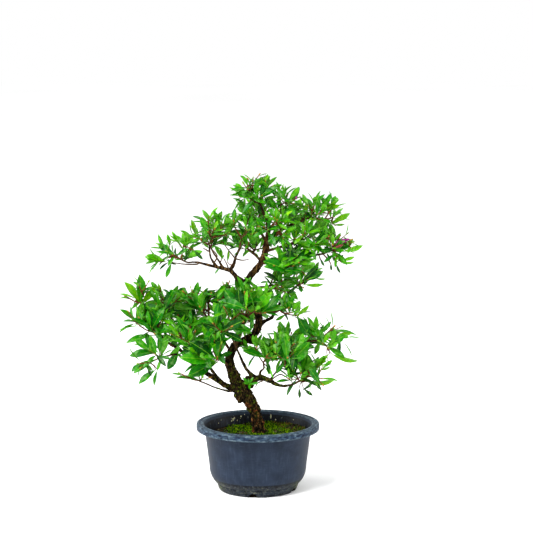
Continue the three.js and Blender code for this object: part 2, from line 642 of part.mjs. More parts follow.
// The leaves of one shoot: a whorl whose outer leaves spread and whose inner ones stand up. A leaf that would
// leave its mass's space, or touch anything, is tried again a little shorter and turned aside.
function growWhorl(mass, shoot, axis, depth, wood, others, random) {
  const across = (Math.abs(axis.z) < 0.9 ? UP.clone() : new THREE.Vector3(1, 0, 0)).cross(axis).normalize();
  const phase = 360 * random();
  const leaves = [];
  for (let i = 0; i < LEAVES_PER_SHOOT; i++) {
    const inner = i / (LEAVES_PER_SHOOT - 1);
    const varied = lerp(...LEAF_VARIES, random());
    const full = LEAF_GROWTH * mass.leaf * lerp(1, SMALLEST_LEAF, inner) * varied;
    const root = shoot.clone().addScaledVector(axis, -depth * (1 - inner) - LEAF_ROOT_DEPTH);
    for (let attempt = 0; attempt < LEAF_TRIES; attempt++) {
      const tried = attempt / (LEAF_TRIES - 1);
      const aside = LEAF_STRAY + LEAF_TURN_ASIDE * tried;
      const turn = phase + i * GOLDEN_TURN + lerp(-aside, aside, random());
      const opening = radians(lerp(WIDE_OPENING, NARROW_OPENING, inner) + lerp(-aside, aside, random()));
      const spread = across.clone().applyAxisAngle(axis, radians(turn));
      const along = axis.clone().multiplyScalar(Math.cos(opening));
      along.addScaledVector(spread, Math.sin(opening));
      const face = axis.clone().addScaledVector(UP, LEAF_FACES_UP);
      face.addScaledVector(along, -face.dot(along)).normalize();
      const leaf = leafCorners(root, along, face, full * lerp(1, SHORTEST_TRY, tried));
      const ends = [leaf.tip, leaf.left, leaf.right, leaf.ridge];
      if (!ends.every((p) => inSpace(mass, p)) || touchesWood(leaf, wood)) continue;
      const solid = leafSolid(leaf);
      if (others.some((other) => solid.intersect(other).volume() > 0)) continue;
      leaves.push(solid);
      break;
    }
  }
  return leaves;
}

// A closed flower bud standing on a shoot.
const BUD = { length: 17, radius: 3.4, sides: 5, profile: [[0, 0.35], [0.4, 1], [0.8, 0.8], [1, 0.15]] };
function makeBud(shoot, axis) {
  const points = BUD.profile.map(([along]) => shoot.clone().addScaledVector(axis, BUD.length * along - 1));
  return solidOf(taperedTube(points, BUD.profile.map(([, width]) => width * BUD.radius), BUD.sides));
}

// The straight lines, each with a radius, that twigs and leaves keep clear of.
function limbLines(limbs) {
  return [...limbs.values()].flatMap(({ points, widths }) =>
    points.slice(1).map((to, i) => ({ from: points[i], to, radius: Math.max(widths[i], widths[i + 1]) })),
  );
}

function twigLines({ joints }) {
  return joints.slice(1).map(({ at, parent, radius }) => ({ from: joints[parent].at, to: at, radius }));
}

function makeTwigs(mass, limbs, lines) {
  const bough = limbs.get(mass.on ?? "trunk");
  return growTwigs(mass, stemStart(mass, bough), lines, seeded(mass.seed));
}

// The solids of a mass before they are joined: its twigs, then each shoot's leaves and buds.
function growMass(mass, twigs, lines) {
  const random = seeded(mass.seed + LEAF_SEED);
  const { joints, tips, chains } = twigs;
  const far = 2 * Math.max(...mass.reach.toArray());
  const near = lines.filter(({ from }) => from.distanceTo(mass.middle) < far);
  const solids = chains.map((chain) => {
    const points = chain.map((i) => joints[i].at);
    const radii = chain.map((i) => joints[i].radius);
    radii[0] = Math.min(radii[0], radii[1]);
    return solidOf(taperedTube(points, radii, TWIG_SIDES));
  });
  tips.forEach(({ at: shoot, parent }, order) => {
    const last = shoot.clone().sub(joints[parent].at);
    const depth = Math.min(WHORL_DEPTH, WHORL_SHARE * last.length() - LEAF_ROOT_DEPTH);
    const axis = last.normalize();
    const others = solids.filter((_, i) => i !== order);
    solids.push(...growWhorl(mass, shoot, axis, depth, near, others, random));
    if (order < (mass.buds ?? 0)) solids.push(makeBud(shoot, axis));
  });
  return solids;
}

function makeFoliage(limbs) {
  const masses = MASSES.map((mass) => {
    return { ...mass, middle: vector(mass.middle), reach: vector(mass.reach) };
  });
  addWalls(masses);
  const lines = new Map([["limbs", limbLines(limbs)]]);
  for (const mass of masses) {
    mass.twigs = makeTwigs(mass, limbs, [...lines.values()].flat());
    lines.set(mass.name, twigLines(mass.twigs));
  }
  return masses.map((mass) => {
    const around = [...lines].filter(([name]) => name !== mass.name).flatMap(([, part]) => part);
    const solids = growMass(mass, mass.twigs, around);
    const whole = solids.reduce((joined, next) => joined.add(next));
    return { name: mass.name, solid: largestBody(whole.simplify(FINEST_EDGE)) };
  });
}

const MATERIALS = {
  pot: new THREE.MeshStandardMaterial({ color: 0x3a4251, roughness: 0.55, metalness: 0 }),
  soil: new THREE.MeshStandardMaterial({ color: 0x46501c, roughness: 1, metalness: 0 }),
  bark: new THREE.MeshStandardMaterial({ color: 0x3b2f1a, roughness: 0.95, metalness: 0 }),
  leaf: new THREE.MeshStandardMaterial({ color: 0x4d871d, roughness: 0.5, metalness: 0 }),
};

const azalea = new THREE.Group();
function addPiece(name, solid, material) {
  const mesh = new THREE.Mesh(geometryOf(solid), material);
  mesh.name = name;
  azalea.add(mesh);
}

const limbs = makeBoughs(makeTrunk());
addPiece("pot", makePot(), MATERIALS.pot);
addPiece("soil", makeSoil(), MATERIALS.soil);
for (const limb of limbs.values()) {
  addPiece(limb.name === "trunk" ? "trunk" : `bough_${limb.name}`, limb.solid, MATERIALS.bark);
}
for (const mass of makeFoliage(limbs)) addPiece(`foliage_${mass.name}`, mass.solid, MATERIALS.leaf);

export default azalea;
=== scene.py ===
"""The looks of a small azalea grown as a bonsai in a round plastic training pot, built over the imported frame.

Plans and sizes are in millimetres in the row frame: the origin is the centre of the pot's underside, +Z is up
and the tree's front faces -Y. A mesh is scaled to metres when it is made.
"""

import math

import bpy
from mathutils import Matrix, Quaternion, Vector, noise
from mathutils.kdtree import KDTree


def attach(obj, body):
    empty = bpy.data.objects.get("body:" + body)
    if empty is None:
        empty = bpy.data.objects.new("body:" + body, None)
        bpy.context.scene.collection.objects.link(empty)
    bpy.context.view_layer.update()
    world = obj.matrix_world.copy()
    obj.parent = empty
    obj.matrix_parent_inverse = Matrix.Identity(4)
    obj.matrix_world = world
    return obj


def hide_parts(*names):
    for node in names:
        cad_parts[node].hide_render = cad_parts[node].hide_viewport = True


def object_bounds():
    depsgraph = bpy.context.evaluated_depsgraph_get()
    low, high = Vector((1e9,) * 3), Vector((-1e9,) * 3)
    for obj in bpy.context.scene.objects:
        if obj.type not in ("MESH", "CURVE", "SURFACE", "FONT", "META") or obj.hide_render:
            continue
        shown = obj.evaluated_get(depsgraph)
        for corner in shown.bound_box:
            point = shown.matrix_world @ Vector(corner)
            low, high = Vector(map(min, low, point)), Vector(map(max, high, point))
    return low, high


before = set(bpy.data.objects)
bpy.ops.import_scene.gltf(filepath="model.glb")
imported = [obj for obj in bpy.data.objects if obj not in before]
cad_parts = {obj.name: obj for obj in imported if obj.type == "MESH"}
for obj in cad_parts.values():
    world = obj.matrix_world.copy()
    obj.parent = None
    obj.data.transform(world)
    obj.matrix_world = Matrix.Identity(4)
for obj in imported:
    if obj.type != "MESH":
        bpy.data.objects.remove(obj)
cad_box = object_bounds()

MM = 0.001
UP = Vector((0, 0, 1))
FRONT = Vector((0, -1, 0))
RIGHT = Vector((1, 0, 0))
NEARLY_UPRIGHT = 0.9
TINY = 1e-9
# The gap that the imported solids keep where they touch.
GAP = 0.3

# The pot.
POT_HEIGHT = 82
RIM_RADIUS = 75
RIM_MOUTH = 66.4
RIM_DEPTH = 8
RIM_BOTTOM = POT_HEIGHT - RIM_DEPTH
RIM_EDGE = POT_HEIGHT - 0.4
GROOVE_RADIUS = 70.6
GROOVE_WIDTH = 1.7
GROOVE_DEPTH = 1.1
BODY_TOP_RADIUS = 65
BELLY_RADIUS = 59.3
BELLY_HEIGHT = 30
BELLY_DROP = 23
BELLY_TURN = 14.3
FOOT_HEIGHT = 6.8
FOOT_RADIUS = 47.2
FOOT_LEDGE = 49.8
WALL = 2.6
FLOOR_TOP = 8.6
FLOOR_RADIUS = 44
# The heights at which its outer and inner walls have a corner.
BODY_HEIGHTS = (8.2, 9, 10, 12, 14.5, 17.5, 21, 25, BELLY_HEIGHT, 45)
INSIDE_HEIGHTS = (RIM_BOTTOM, 55, BELLY_HEIGHT, 22, BELLY_HEIGHT / 2)
NOTCHES = 5
NOTCH_RADIUS = 5.4
NOTCH_TURN = -7
NOTCH_DROP = 0.6
CHANNEL_START = 26
DRAIN_RADIUS = 4
DRAIN_HEIGHTS = (1.5, 2 * FLOOR_TOP)
HOLE_SIDES = 24
POT_SIDES = 144
CORNER_STEPS = 4
SHARPEST_SMOOTH = 40

# The soil, level round the trunk, with the lengths of its mounds' waves in x and y. Then two layers of lumps,
# each by the height in the noise that it is taken from and its size.
GROUND = 72
SOIL_LEVEL = 70
SOIL_RISE_RIGHT = 2.6
SOIL_RISE_BACK = 0.4
SOIL_SUNK = 1.8
MOSS_MOUND = 1.3
WIDE_WAVES = (11, 9)
SMALL_WAVES = (5, 6)
LUMP_LAYERS = ((0, 3), (9, 1.2))
LUMP_RISE = 0.7
LUMP_DROP = 0.4
FLAT_AROUND_TRUNK = 11
SLOPE_END = 2.4
SOIL_SIDES = 110
SOIL_RINGS = 44

# The trunk's centreline with the radius at each point, from inside the soil to its tip.
TRUNK = [
    (2.5, 0, 64, 10.2), (0.8, 0, 73, 7.7), (0.2, 0, 79, 7.0), (-1.9, -1, 89, 6.9),
    (-5, -2, 100, 7.2), (-12, -4, 112, 7.8), (-19, -6, 123, 8.6), (-27, -7, 136, 7.5),
    (-32, -7, 148, 6.4), (-34.5, -6, 161, 5.1), (-31, -3, 173, 4.8), (-23, 0, 180, 4.8),
    (-13, 3, 184, 5.0), (-4.5, 5, 190, 4.9), (0, 6, 199, 4.7), (1.2, 6, 211, 4.5),
    (-3, 5, 225, 4.2), (-11, 3, 239, 4.1), (-14.6, 1, 250, 4.2), (-11, 0, 259, 4.0),
    (-5, 0, 267, 3.9), (3, 0, 277, 3.9), (7.5, 0, 286, 3.9), (10, 0, 295, 4.2),
    (11, 1, 304, 3.6), (12.5, 1, 316, 2.5), (11, 1, 328, 2.0), (8, 1, 336, 1.8),
]
# The swollen collar under the lowest left bough, and old knots: place and radius of each ball.
KNOTS = [
    ((-21.6, -5, 113.4), 5.9), ((-26, -8, 117), 3.6), ((0.6, -1, 82), 6.9),
    ((-1.4, -2, 91), 6.6), ((-4.8, -3, 102), 6.6), ((-9, -6, 130), 5.0),
    ((-12, -9, 137), 4.4), ((-31, -9, 142), 4.0), ((-34, -6, 152), 3.6),
]

# Boughs: the parent, the share of its length where each springs, the first and last radius, the route.
BOUGHS = {
    "low_left": ("trunk", 0.225, (3.6, 1.9), [
        (-33, -6, 126), (-47, -7, 134), (-64, -8, 146), (-81, -8, 159), (-92, -7, 171), (-106, -6, 180),
    ]),
    "low_left_end": ("low_left", 0.7, (1.6, 1.1), [
        (-104, 3, 183), (-115, 3, 194), (-126, 2, 205), (-135, 1, 217),
    ]),
    "low_left_under": ("low_left", 0.66, (1.4, 1.1), [(-98, -11, 168), (-108, -13, 167)]),
    "low_left_top": ("low_left", 0.63, (1.8, 1.3), [(-90, -2, 179), (-96, 4, 194), (-103, 7, 206)]),
    "low_left_inner": ("low_left", 0.46, (1.5, 1.1), [(-75, -14, 160), (-80, -18, 169)]),
    "low_left_lowest": ("low_left", 0.1, (1.5, 1.0), [(-34, -12, 123), (-50, -16, 128), (-61, -18, 133)]),
    "low_left_back": ("low_left", 0.29, (2.1, 1.3), [(-63, 8, 154), (-74, 22, 168), (-84, 31, 178)]),
    "low_right": ("trunk", 0.23, (4.4, 1.3), [
        (-5, -7, 136), (4, -9, 139), (14, -10, 136), (23, -10, 131), (32, -10, 129), (41, -11, 131),
    ]),
    "low_rise": ("low_right", 0.2, (2.3, 1.2), [
        (-13, -11, 149), (-18, -14, 159), (-22, -18, 169), (-26, -21, 179),
    ]),
    "low_right_near": ("low_right", 0.3, (1.6, 1.1), [(3, -14, 147), (6, -16, 151)]),
    "low_right_mid": ("low_right", 0.52, (1.5, 1.1), [(18, -15, 142), (23, -18, 149)]),
    "mid_right_low": ("trunk", 0.441, (2.9, 1.2), [
        (5, 5, 178), (18, 6, 176), (32, 6, 176), (47, 5, 177), (60, 4, 181),
    ]),
    "low_right_back": ("mid_right_low", 0.3, (1.8, 1.2), [(18, 18, 172), (28, 27, 168)]),
    "right_rise": ("trunk", 0.523, (2.2, 1.2), [
        (8, 5, 206), (17, 3, 211), (21, 2, 220), (26, 1, 228), (31, 1, 237), (38, 0, 243),
    ]),
    "upper_left": ("trunk", 0.673, (3.1, 1.0), [
        (-24, 1, 259), (-32, 1, 268), (-40, 1, 271), (-50, 1, 273), (-61, 0, 276), (-73, 0, 279),
        (-83, 0, 279),
    ]),
    "left_inner": ("upper_left", 0.56, (1.5, 1.1), [(-56, 1, 283), (-58, 1, 292), (-58, 1, 300)]),
    "left_back": ("upper_left", 0.46, (1.5, 1.1), [(-46, 12, 277), (-53, 22, 286)]),
    "left_fork": ("upper_left", 0.31, (1.9, 1.3), [(-29, 0, 277), (-26, -2, 287), (-22, -5, 297)]),
    "crown_right_low": ("trunk", 0.798, (2.6, 1.2), [
        (15, -1, 280), (27, -1, 282), (41, -2, 284), (55, -3, 287), (68, -3, 288), (78, -4, 290),
    ]),
    "crown_right": ("trunk", 0.884, (2.4, 1.3), [(19, 1, 309), (29, 1, 318), (39, 1, 324), (50, 0, 328)]),
    "crown_top": ("trunk", 0.928, (1.8, 1.3), [(17, 3, 322), (22, 4, 331)]),
}
LIMB_STEP = 10
LEAST_STRETCHES = 3
LENGTH_STEPS = 200

# Masses of foliage: the bough, or the share of the trunk's length, that each grows from, its middle and its
# reach each way, its shoots, its longest leaf, the turn and seed of its rule, and then the finer twigs below
# each shoot, how far its shoots turn up, and the seed that these twigs and the leaves are drawn from.
MASSES = {
    "apex": ("trunk", 1, (-5, 0, 366), (31, 28, 31), 5, 23, 95, 148, 3, 0, 1877),
    "crown_top": ("crown_top", 1, (34, 4, 349), (27, 28, 28), 4, 23, 150, 184, 2, 0, 2098),
    "crown_right": ("crown_right", 1, (77, 2, 339), (35, 27, 28), 5, 23, 195, 130, 1, 0.6, 491),
    "crown_outer": ("crown_right_low", 1, (97, -3, 301), (32, 25, 32), 5, 23, 60, 142, 3, 0, 787),
    "crown_front": ("trunk", 0.875, (21, -29, 324), (26, 22, 26), 4, 22, 270, 182, 3, 0, 953),
    "crown_inner": ("trunk", 0.841, (56, -15, 308), (27, 23, 25), 4, 24, 280, 135, 2, 0, 2081),
    "crown_left": ("left_fork", 1, (-18, -12, 324), (24, 22, 26), 3, 23, 30, 139, 2, 0.6, 1996),
    "crown_under": ("trunk", 0.788, (-14, 12, 299), (24, 24, 20), 3, 23, 105, 179, 3, 0, 2254),
    "crown_back_left": ("trunk", 0.884, (-6, 38, 327), (34, 28, 30), 4, 23, 0, 169, 3, 0.6, 2057),
    "crown_back_right": ("trunk", 0.865, (50, 40, 320), (38, 28, 30), 4, 23, 325, 146, 3, 0.3, 2158),
    "mid_right": ("trunk", 0.783, (38, -24, 280), (33, 24, 25), 4, 28, 320, 154, 3, 0.3, 606),
    "mid_right_outer": ("right_rise", 1, (58, -3, 259), (30, 24, 21), 3, 26, 325, 172, 3, 0.3, 577),
    "mid_back": ("trunk", 0.653, (27, 30, 246), (29, 28, 24), 4, 24, 0, 160, 3, 0, 1935),
    "mid_right_near": ("trunk", 0.576, (38, -13, 219), (30, 24, 26), 3, 30, 140, 180, 1, 0.6, 1960),
    "left_tip": ("upper_left", 1, (-101, 0, 287), (40, 23, 28), 5, 23, 355, 128, 1, 0, 2053),
    "left_inner": ("left_inner", 1, (-50, 0, 318), (31, 25, 28), 5, 23, 185, 191, 1, 0, 2020),
    "left_back": ("left_back", 1, (-62, 38, 301), (32, 22, 24), 4, 23, 0, 171, 2, 0, 2019),
    "low_left_end": ("low_left_end", 1, (-143, 2, 241), (32, 22, 28), 3, 29, 270, 175, 1, 0.3, 1824),
    "low_left_tip": ("low_left", 1, (-134, -8, 203), (42, 24, 28), 4, 34, 10, 152, 3, 0.3, 2091),
    "low_left_under": ("low_left_under", 1, (-127, -14, 163), (33, 22, 30), 3, 32, 270, 114, 2, 0, 659),
    "low_left_top": ("low_left_top", 1, (-109, 9, 228), (31, 28, 31), 4, 29, 190, 191, 1, 0, 821),
    "low_left_mid": ("trunk", 0.36, (-74, 2, 231), (30, 28, 31), 4, 30, 240, 103, 3, 0.6, 1717),
    "low_left_inner": ("low_left_inner", 1, (-86, -25, 188), (30, 24, 31), 3, 30, 150, 107, 3, 0.3, 2216),
    "low_left_lowest": ("low_left_lowest", 1, (-82, -20, 142), (28, 15, 15), 2, 28, 210, 174, 2, 0.6, 2054),
    "low_centre_left": ("trunk", 0.311, (-62, -36, 177), (35, 24, 32), 3, 38, 45, 152, 2, 0.3, 2171),
    "low_centre_top": ("trunk", 0.51, (-42, 14, 239), (28, 26, 28), 4, 30, 320, 155, 2, 0, 1903),
    "low_centre_front": ("trunk", 0.393, (-10, -32, 234), (38, 25, 32), 4, 38, 240, 158, 3, 0, 894),
    "low_centre": ("low_rise", 1, (-38, -33, 207), (31, 23, 28), 3, 34, 330, 121, 3, 0, 536),
    "low_left_back": ("low_left_back", 1, (-94, 46, 199), (42, 28, 33), 4, 29, 240, 179, 3, 0, 574),
    "low_centre_back": ("trunk", 0.398, (-21, 46, 208), (37, 28, 34), 4, 29, 235, 171, 3, 0, 1088),
    "low_right_near": ("low_right_near", 1, (6, -20, 168), (29, 20, 26), 3, 32, 155, 178, 3, 0.6, 2260),
    "low_right_mid": ("low_right_mid", 1, (38, -21, 173), (30, 23, 30), 4, 34, 205, 156, 3, 0.6, 439),
    "low_right_under": ("low_right", 1, (60, -13, 141), (38, 24, 28), 4, 32, 45, 159, 3, 0.6, 2140),
    "low_right_tip": ("mid_right_low", 1, (87, 2, 184), (41, 25, 31), 5, 29, 70, 110, 1, 0.3, 1965),
    "low_right_back": ("low_right_back", 1, (46, 42, 171), (41, 28, 31), 4, 29, 220, 167, 3, 0, 1993),
}

# The source's rule for twigs.
GOLDEN_TURN = 137.508
LOWEST_SHOOT = -0.6
LEAF_INSIDE = 0.8
NEAREST_SHOOT = 0.5
SHOOT_STRAY = 0.1
HUB_SHARE = 0.45
LONG_WAY_COST = 0.3
TWIG_LIFT = 0.1
TWIG_STRAY = 0.08
TWIG_TRIES = 6
TWIG_CLEARANCE = 1.7
TWIG_RADIUS = 1.5
STRAIGHT_TWIG = 20
STEM_START = 2
# The number of the joint where a mass's stem ends and its twigs part.
HUB = 2

# The finer twigs that this scene adds to it, and how it draws them and the source's twigs.
SIDE_OPENING = (38, 66)
SIDE_LENGTH = (0.34, 0.6)
SIDE_ROOT = (3, 11)
SIDE_ROOM = 0.8
SIDE_LIFT = 0.2
SIDE_SAG = 0.06
SIDE_REACH = 0.86
SIDE_CLEARANCE = 1
FINEST_RADIUS = 0.5
SIDE_RADII = (0.75, 0.6, FINEST_RADIUS)
YOUNG_RADIUS = 1.2
LOAD_GROWTH = 0.62
STEM_RADIUS = 2
STEM_TAPER = 1.15
STEM_SUNK = 4
TWIG_SIDES = 7
TWIG_STEPS = 4
STALK_SIDES = 6
STALK_STEPS = 3
STALK_BEND = 0.6
DRAW_STEPS = 4
DRAW_SHARE = 0.8
THICK_WOOD = 1.8
NEAR_REACH = 1.6

# Its leaves: whorls at the shoots and side shoots, and two old leaves below each shoot.
TIP_LEAVES = 6
SIDE_LEAVES = 4
WIDE_OPENING = 70
NARROW_OPENING = 20
WHORL_DEPTH = 4.5
WHORL_TOP = 0.5
LEAF_GROWTH = 1.18
SIDE_GROWTH = 1.02
OLD_GROWTH = (0.5, 0.85)
OLD_OPENING = (96, 140)
OLD_ROOT = (5, 12)
SMALLEST_LEAF = 0.68
LEAF_TRIES = (1, 0.82, 0.66)
LEAF_REACH = 1.16
LEAF_CLEARANCE = 0.6
LEAF_BELLY = 0.6
BOX_MARGIN = 1.2
LEAF_VARIES = (0.86, 1.1)
LEAF_STRAY = 10
LEAF_ROLL = 26
LEAF_FACES_UP = 0.35
LEAF_WIDTH = (0.27, 0.39)
LEAF_SIZES = (20, 34)
LEAF_RISE = (0.16, -0.2)
LEAF_FOLD = 0.2
LEAF_RIB = 0.035
LEAF_THICKNESS = 0.5
LEAF_LEAN = (-0.3, 0.1)
# A leaf's half width along it, as a share of its widest.
LEAF_OUTLINE = [
    (0, 0.1), (0.1, 0.17), (0.25, 0.52), (0.42, 0.85), (0.58, 1), (0.74, 0.88), (0.89, 0.48), (1, 0.03),
]

# The tone of a leaf, from 0 for the palest to 5 for the darkest: a whorl's own, what large leaves add to it,
# how much paler its inner leaves are, and the painted shade that its place in the mass adds, darker low down
# and deep in, where shade falls.
OLD_TONES = (4, 5)
WHORL_TONE = (1.7, 3.5)
LARGE_TONE = 0.5
LARGE_LEAVES = (24, 32)
INNER_TONE = 1.3
TONE_STRAY = 0.5
# Painted shade by a leaf's place in its mass: the tones it adds, from lighter to darker, the depths over which
# it changes, and how much height lessens it.
SHADE = (-1, 1.4)
SHADE_DEPTHS = (-0.6, 0.9)
SHADE_BY_HEIGHT = 0.8

BUD_LENGTH = (1.6, 2.6)
BUD_WIDTH = 0.42
BUD_FACETS = (6, 5)

# Where sky shows right through the crown: each opening's middle x and z, half width and half height.
OPENINGS = [
    (-78, 262, 48, 14), (95, 246, 38, 20), (-3, 393, 13, 9), (119, 314, 12, 9),
    (121, 283, 9, 10), (-167, 260, 11, 9), (-140, 262, 9, 7), (-170, 219, 9, 10),
    (-171, 184, 10, 7), (-166, 158, 13, 12), (75, 229, 15, 10), (113, 208, 15, 8),
    (118, 181, 12, 6), (84, 148, 9, 6), (45, 198, 7, 11), (99, 317, 8, 6),
    (-22, 377, 8, 5),
]
# Flower buds: the mass whose nearest shoot carries each, its foot, its way, its length, radius and kind.
FLOWER_BUDS = [
    ("crown_outer", (94.5, -17, 305), (0.93, -0.1, 0.3), 17, 2.4, 0),
    ("crown_outer", (94, -17.5, 300), (0.9, -0.2, 0.35), 10, 1.6, 1),
    ("crown_top", (46, -14, 358), (-0.1, -0.2, 0.9), 4, 1.1, 0),
]
FLOWER_STALK = (0.8, 0.7, 0.6)
FLOWER_STALK_SAG = 0.15
PETALS = 5
PETAL_STEPS = 9
PETAL_RIBS = (-2, -1, 0, 1, 2)
PETAL_SPAN = (0.1, 0.97)
PETAL_FULLNESS = 0.75
PETAL_TWIST = 0.22
PETAL_RIB_TURN = 0.07
PETAL_RIB_LIFT = 0.06
# The young sprout at the fork: the limb and share that it springs from, its tip, its leaves, their length.
SPROUT = ("low_right", 0.1, (-10.5, -19, 133), 7, 12.5)
SPROUT_STALK = (0.9, 0.8, 0.7)
SPROUT_LIFT = 0.7
SPROUT_TONE = 3
# Leaves that stand out against the sky: the x and z of root and tip, the tone, the turn off facing the front.
OUTER_LEAVES = [
    (-125, 190, -160, 182, 3, 48), (-122, 163, -151, 146, 3, 40), (-123, 150, -144, 134, 3, 25),
    (-121, 150, -126, 130, 3, 35), (-95, 172, -110, 147, 4, 0), (-142, 202, -169, 198, 1, 72),
    (-145, 205, -166, 223, 3, 45), (-142, 228, -142, 264, 3, 35), (-142, 228, -160, 256, 1, 45),
    (-142, 227, -124, 249, 1, 50), (-147, 234, -168, 241, 1, 55), (-69, 138, -99, 142, 3, 58),
    (-51, 162, -84, 147, 3, 15), (-118, 232, -120, 253, 1, 40), (-78, 232, -72, 255, 3, 10),
    (-83, 235, -91, 249, 3, 20), (-69, 241, -59, 249, 3, 45), (-53, 229, -38, 253, 3, 15),
    (-60, 233, -49, 243, 4, 30), (-93, 240, -108, 246, 3, 50), (-102, 229, -111, 242, 2, 10),
    (-123, 229, -130, 249, 3, 35), (-91, 229, -93, 244, 2, 10), (-35, 239, -38, 253, 3, 25),
    (-104, 278, -111, 260, 3, 0), (-107, 279, -119, 270, 5, 40), (-111, 280, -134, 289, 2, 15),
    (-109, 284, -109, 299, 2, 0), (-112, 280, -136, 279, 0, 70), (-84, 297, -88, 317, 2, 10),
    (-86, 298, -99, 313, 2, 15), (-76, 305, -81, 326, 1, 20), (-80, 294, -89, 280, 5, 10),
    (-77, 294, -66, 283, 5, 10), (-61, 328, -78, 336, 4, 40), (-44, 280, -45, 295, 2, 30),
    (-37, 279, -35, 294, 1, 40), (-44, 280, -41, 287, 2, 20), (-45, 273, -52, 265, 4, 30),
    (-37, 301, -27, 296, 5, 30), (-7, 373, -21, 385, 3, 35), (0, 370, 13, 384, 1, 10),
    (-14, 349, -30, 357, 3, 45), (-18, 358, -34, 370, 1, 50), (78, 345, 88, 364, 3, 0),
    (81, 345, 99, 349, 1, 30), (80, 347, 98, 356, 1, 65), (89, 327, 111, 338, 1, 30),
    (91, 324, 105, 324, 1, 50), (91, 304, 100, 315, 2, 15), (102, 294, 126, 301, 1, 40),
    (100, 283, 116, 288, 1, 30), (99, 281, 115, 281, 1, 60), (88, 279, 88, 270, 5, 0),
    (94, 279, 99, 267, 5, 40), (75, 285, 80, 275, 5, 30), (68, 261, 82, 260, 1, 65),
    (109, 301, 114, 308, 3, 30), (88, 169, 121, 160, 1, 73), (96, 191, 115, 192, 1, 35),
    (65, 131, 93, 134, 1, 60), (50, 127, 51, 113, 5, 0), (55, 126, 67, 116, 5, 25),
    (68, 139, 77, 126, 5, 25), (87, 169, 71, 151, 1, 30), (73, 148, 88, 153, 1, 60),
    (84, 162, 88, 154, 5, 30), (46, 214, 62, 228, 1, 40), (47, 215, 63, 190, 4, 15),
    (70, 195, 60, 213, 2, 25), (88, 177, 93, 200, 2, 30), (74, 191, 89, 207, 3, 30),
    (82, 307, 84, 296, 5, 10), (67, 288, 72, 308, 2, 20), (70, 288, 76, 300, 3, 35),
    (89, 292, 80, 292, 5, 60), (87, 281, 83, 291, 4, 20), (88, 278, 89, 270, 5, 0),
    (95, 280, 103, 290, 2, 35), (75, 283, 80, 275, 4, 20),
]
# Large leaves at the front of the crown, in the same way. Their tones are partly painted light and shade,
# lighter and darker from leaf to leaf as their facing would be lit, so that overlapping leaves stand apart.
FRONT_LEAVES = [
    (41, 272, 7, 286, 4, 10), (39, 274, 28, 296, 3, 20), (42, 274, 42, 301, 5, 10),
    (42, 271, 63, 276, 3, 30), (55, 258, 79, 269, 4, 30), (54, 259, 73, 276, 5, 20),
    (55, 254, 79, 254, 1, 60), (28, 250, 7, 266, 5, 50), (-23, 222, -39, 253, 4, 15),
    (-21, 223, -23, 253, 5, 10), (-19, 223, 2, 250, 3, 20), (-16, 222, 12, 236, 2, 25),
    (-32, 194, -56, 214, 4, 15), (-32, 192, -58, 182, 2, 20), (-31, 193, -14, 204, 3, 30),
    (-49, 166, -93, 173, 3, 20), (-49, 168, -81, 192, 5, 20), (-48, 163, -83, 146, 4, 10),
    (-83, 188, -92, 206, 4, 15), (-119, 196, -128, 222, 5, 10), (-120, 194, -145, 219, 3, 30),
    (31, 155, 31, 190, 4, 10), (33, 155, 62, 186, 3, 20), (57, 134, 54, 160, 5, 20),
    (12, 155, 11, 184, 3, 20), (-83, 188, -94, 207, 3, 40), (-82, 207, -62, 219, 3, 45),
    (-80, 208, -81, 226, 4, 30), (-121, 190, -129, 225, 4, 35), (-121, 190, -114, 209, 3, 40),
    (-117, 213, -107, 225, 3, 50), (-114, 217, -95, 212, 3, 55), (-36, 193, -56, 213, 4, 15),
    (-81, 193, -60, 182, 3, 20), (-60, 182, -39, 192, 2, 15), (-96, 176, -113, 194, 4, 25),
    (-119, 170, -118, 193, 3, 15), (-96, 176, -105, 192, 4, 10),
]
PLACED_SEED = 37
PLACED_STALK = (0.8, 0.6, FINEST_RADIUS)
# How strongly a leaf's stalk seeks the nearer wood, and the y beyond which nearer makes no difference.
OUTER_PULL = (0.2, 0)
FRONT_PULL = (0.35, -45)
WOOD_STEPS = 40
# Bare twigs by their x and z, each from the nearest wood.
TWIGLET_RADII = (1, 0.9, FINEST_RADIUS)
TWIGLET_AHEAD = 2
TWIGLETS = [
    [(-27, 284), (-19, 282), (-11, 283)],
    [(-27, 284), (-35, 294), (-43, 305)],
    [(-27, 284), (-23, 292), (-20, 298)],
    [(1, 285), (-9, 292), (-17, 300)],
    [(-34, 268), (-37, 276), (-41, 284)],
    [(-60, 293), (-63, 295), (-66, 296)],
    [(-53, 278), (-49, 287), (-56, 296)],
    [(16, 137), (27, 144), (38, 138), (42, 133)],
    [(6, 136), (0, 133), (-3, 128)],
    [(-73, 277), (-88, 277), (-103, 279)],
]


def lerp(low, high, share):
    return low + (high - low) * share


def smoothstep(value, low, high):
    share = min(max((value - low) / (high - low), 0), 1)
    return share * share * (3 - 2 * share)


RANDOM_SIZE = 2147483647
RANDOM_STEP = 48271
SEED_STEP = 7919


def seeded(seed):
    """Random numbers from 0 to 1, the same as the source draws from this seed."""
    state = seed * SEED_STEP % RANDOM_SIZE

    def draw():
        nonlocal state
        state = state * RANDOM_STEP % RANDOM_SIZE
        return state / RANDOM_SIZE

    return draw


def turned(vector, axis, degrees):
    return Quaternion(axis, math.radians(degrees)) @ vector


def square_to(axis):
    """A direction at right angles to an axis, level where it can be."""
    level = UP if abs(axis.z) < NEARLY_UPRIGHT else RIGHT
    return level.cross(axis).normalized()


def between(first, second, turn):
    """The direction at a turn in radians from one direction towards another that is square to it."""
    return first * math.cos(turn) + second * math.sin(turn)


def facing(along, towards, roll=0):
    """The direction square to along that is nearest to another one, turned about along."""
    return turned((towards - along * towards.dot(along)).normalized(), along, roll)


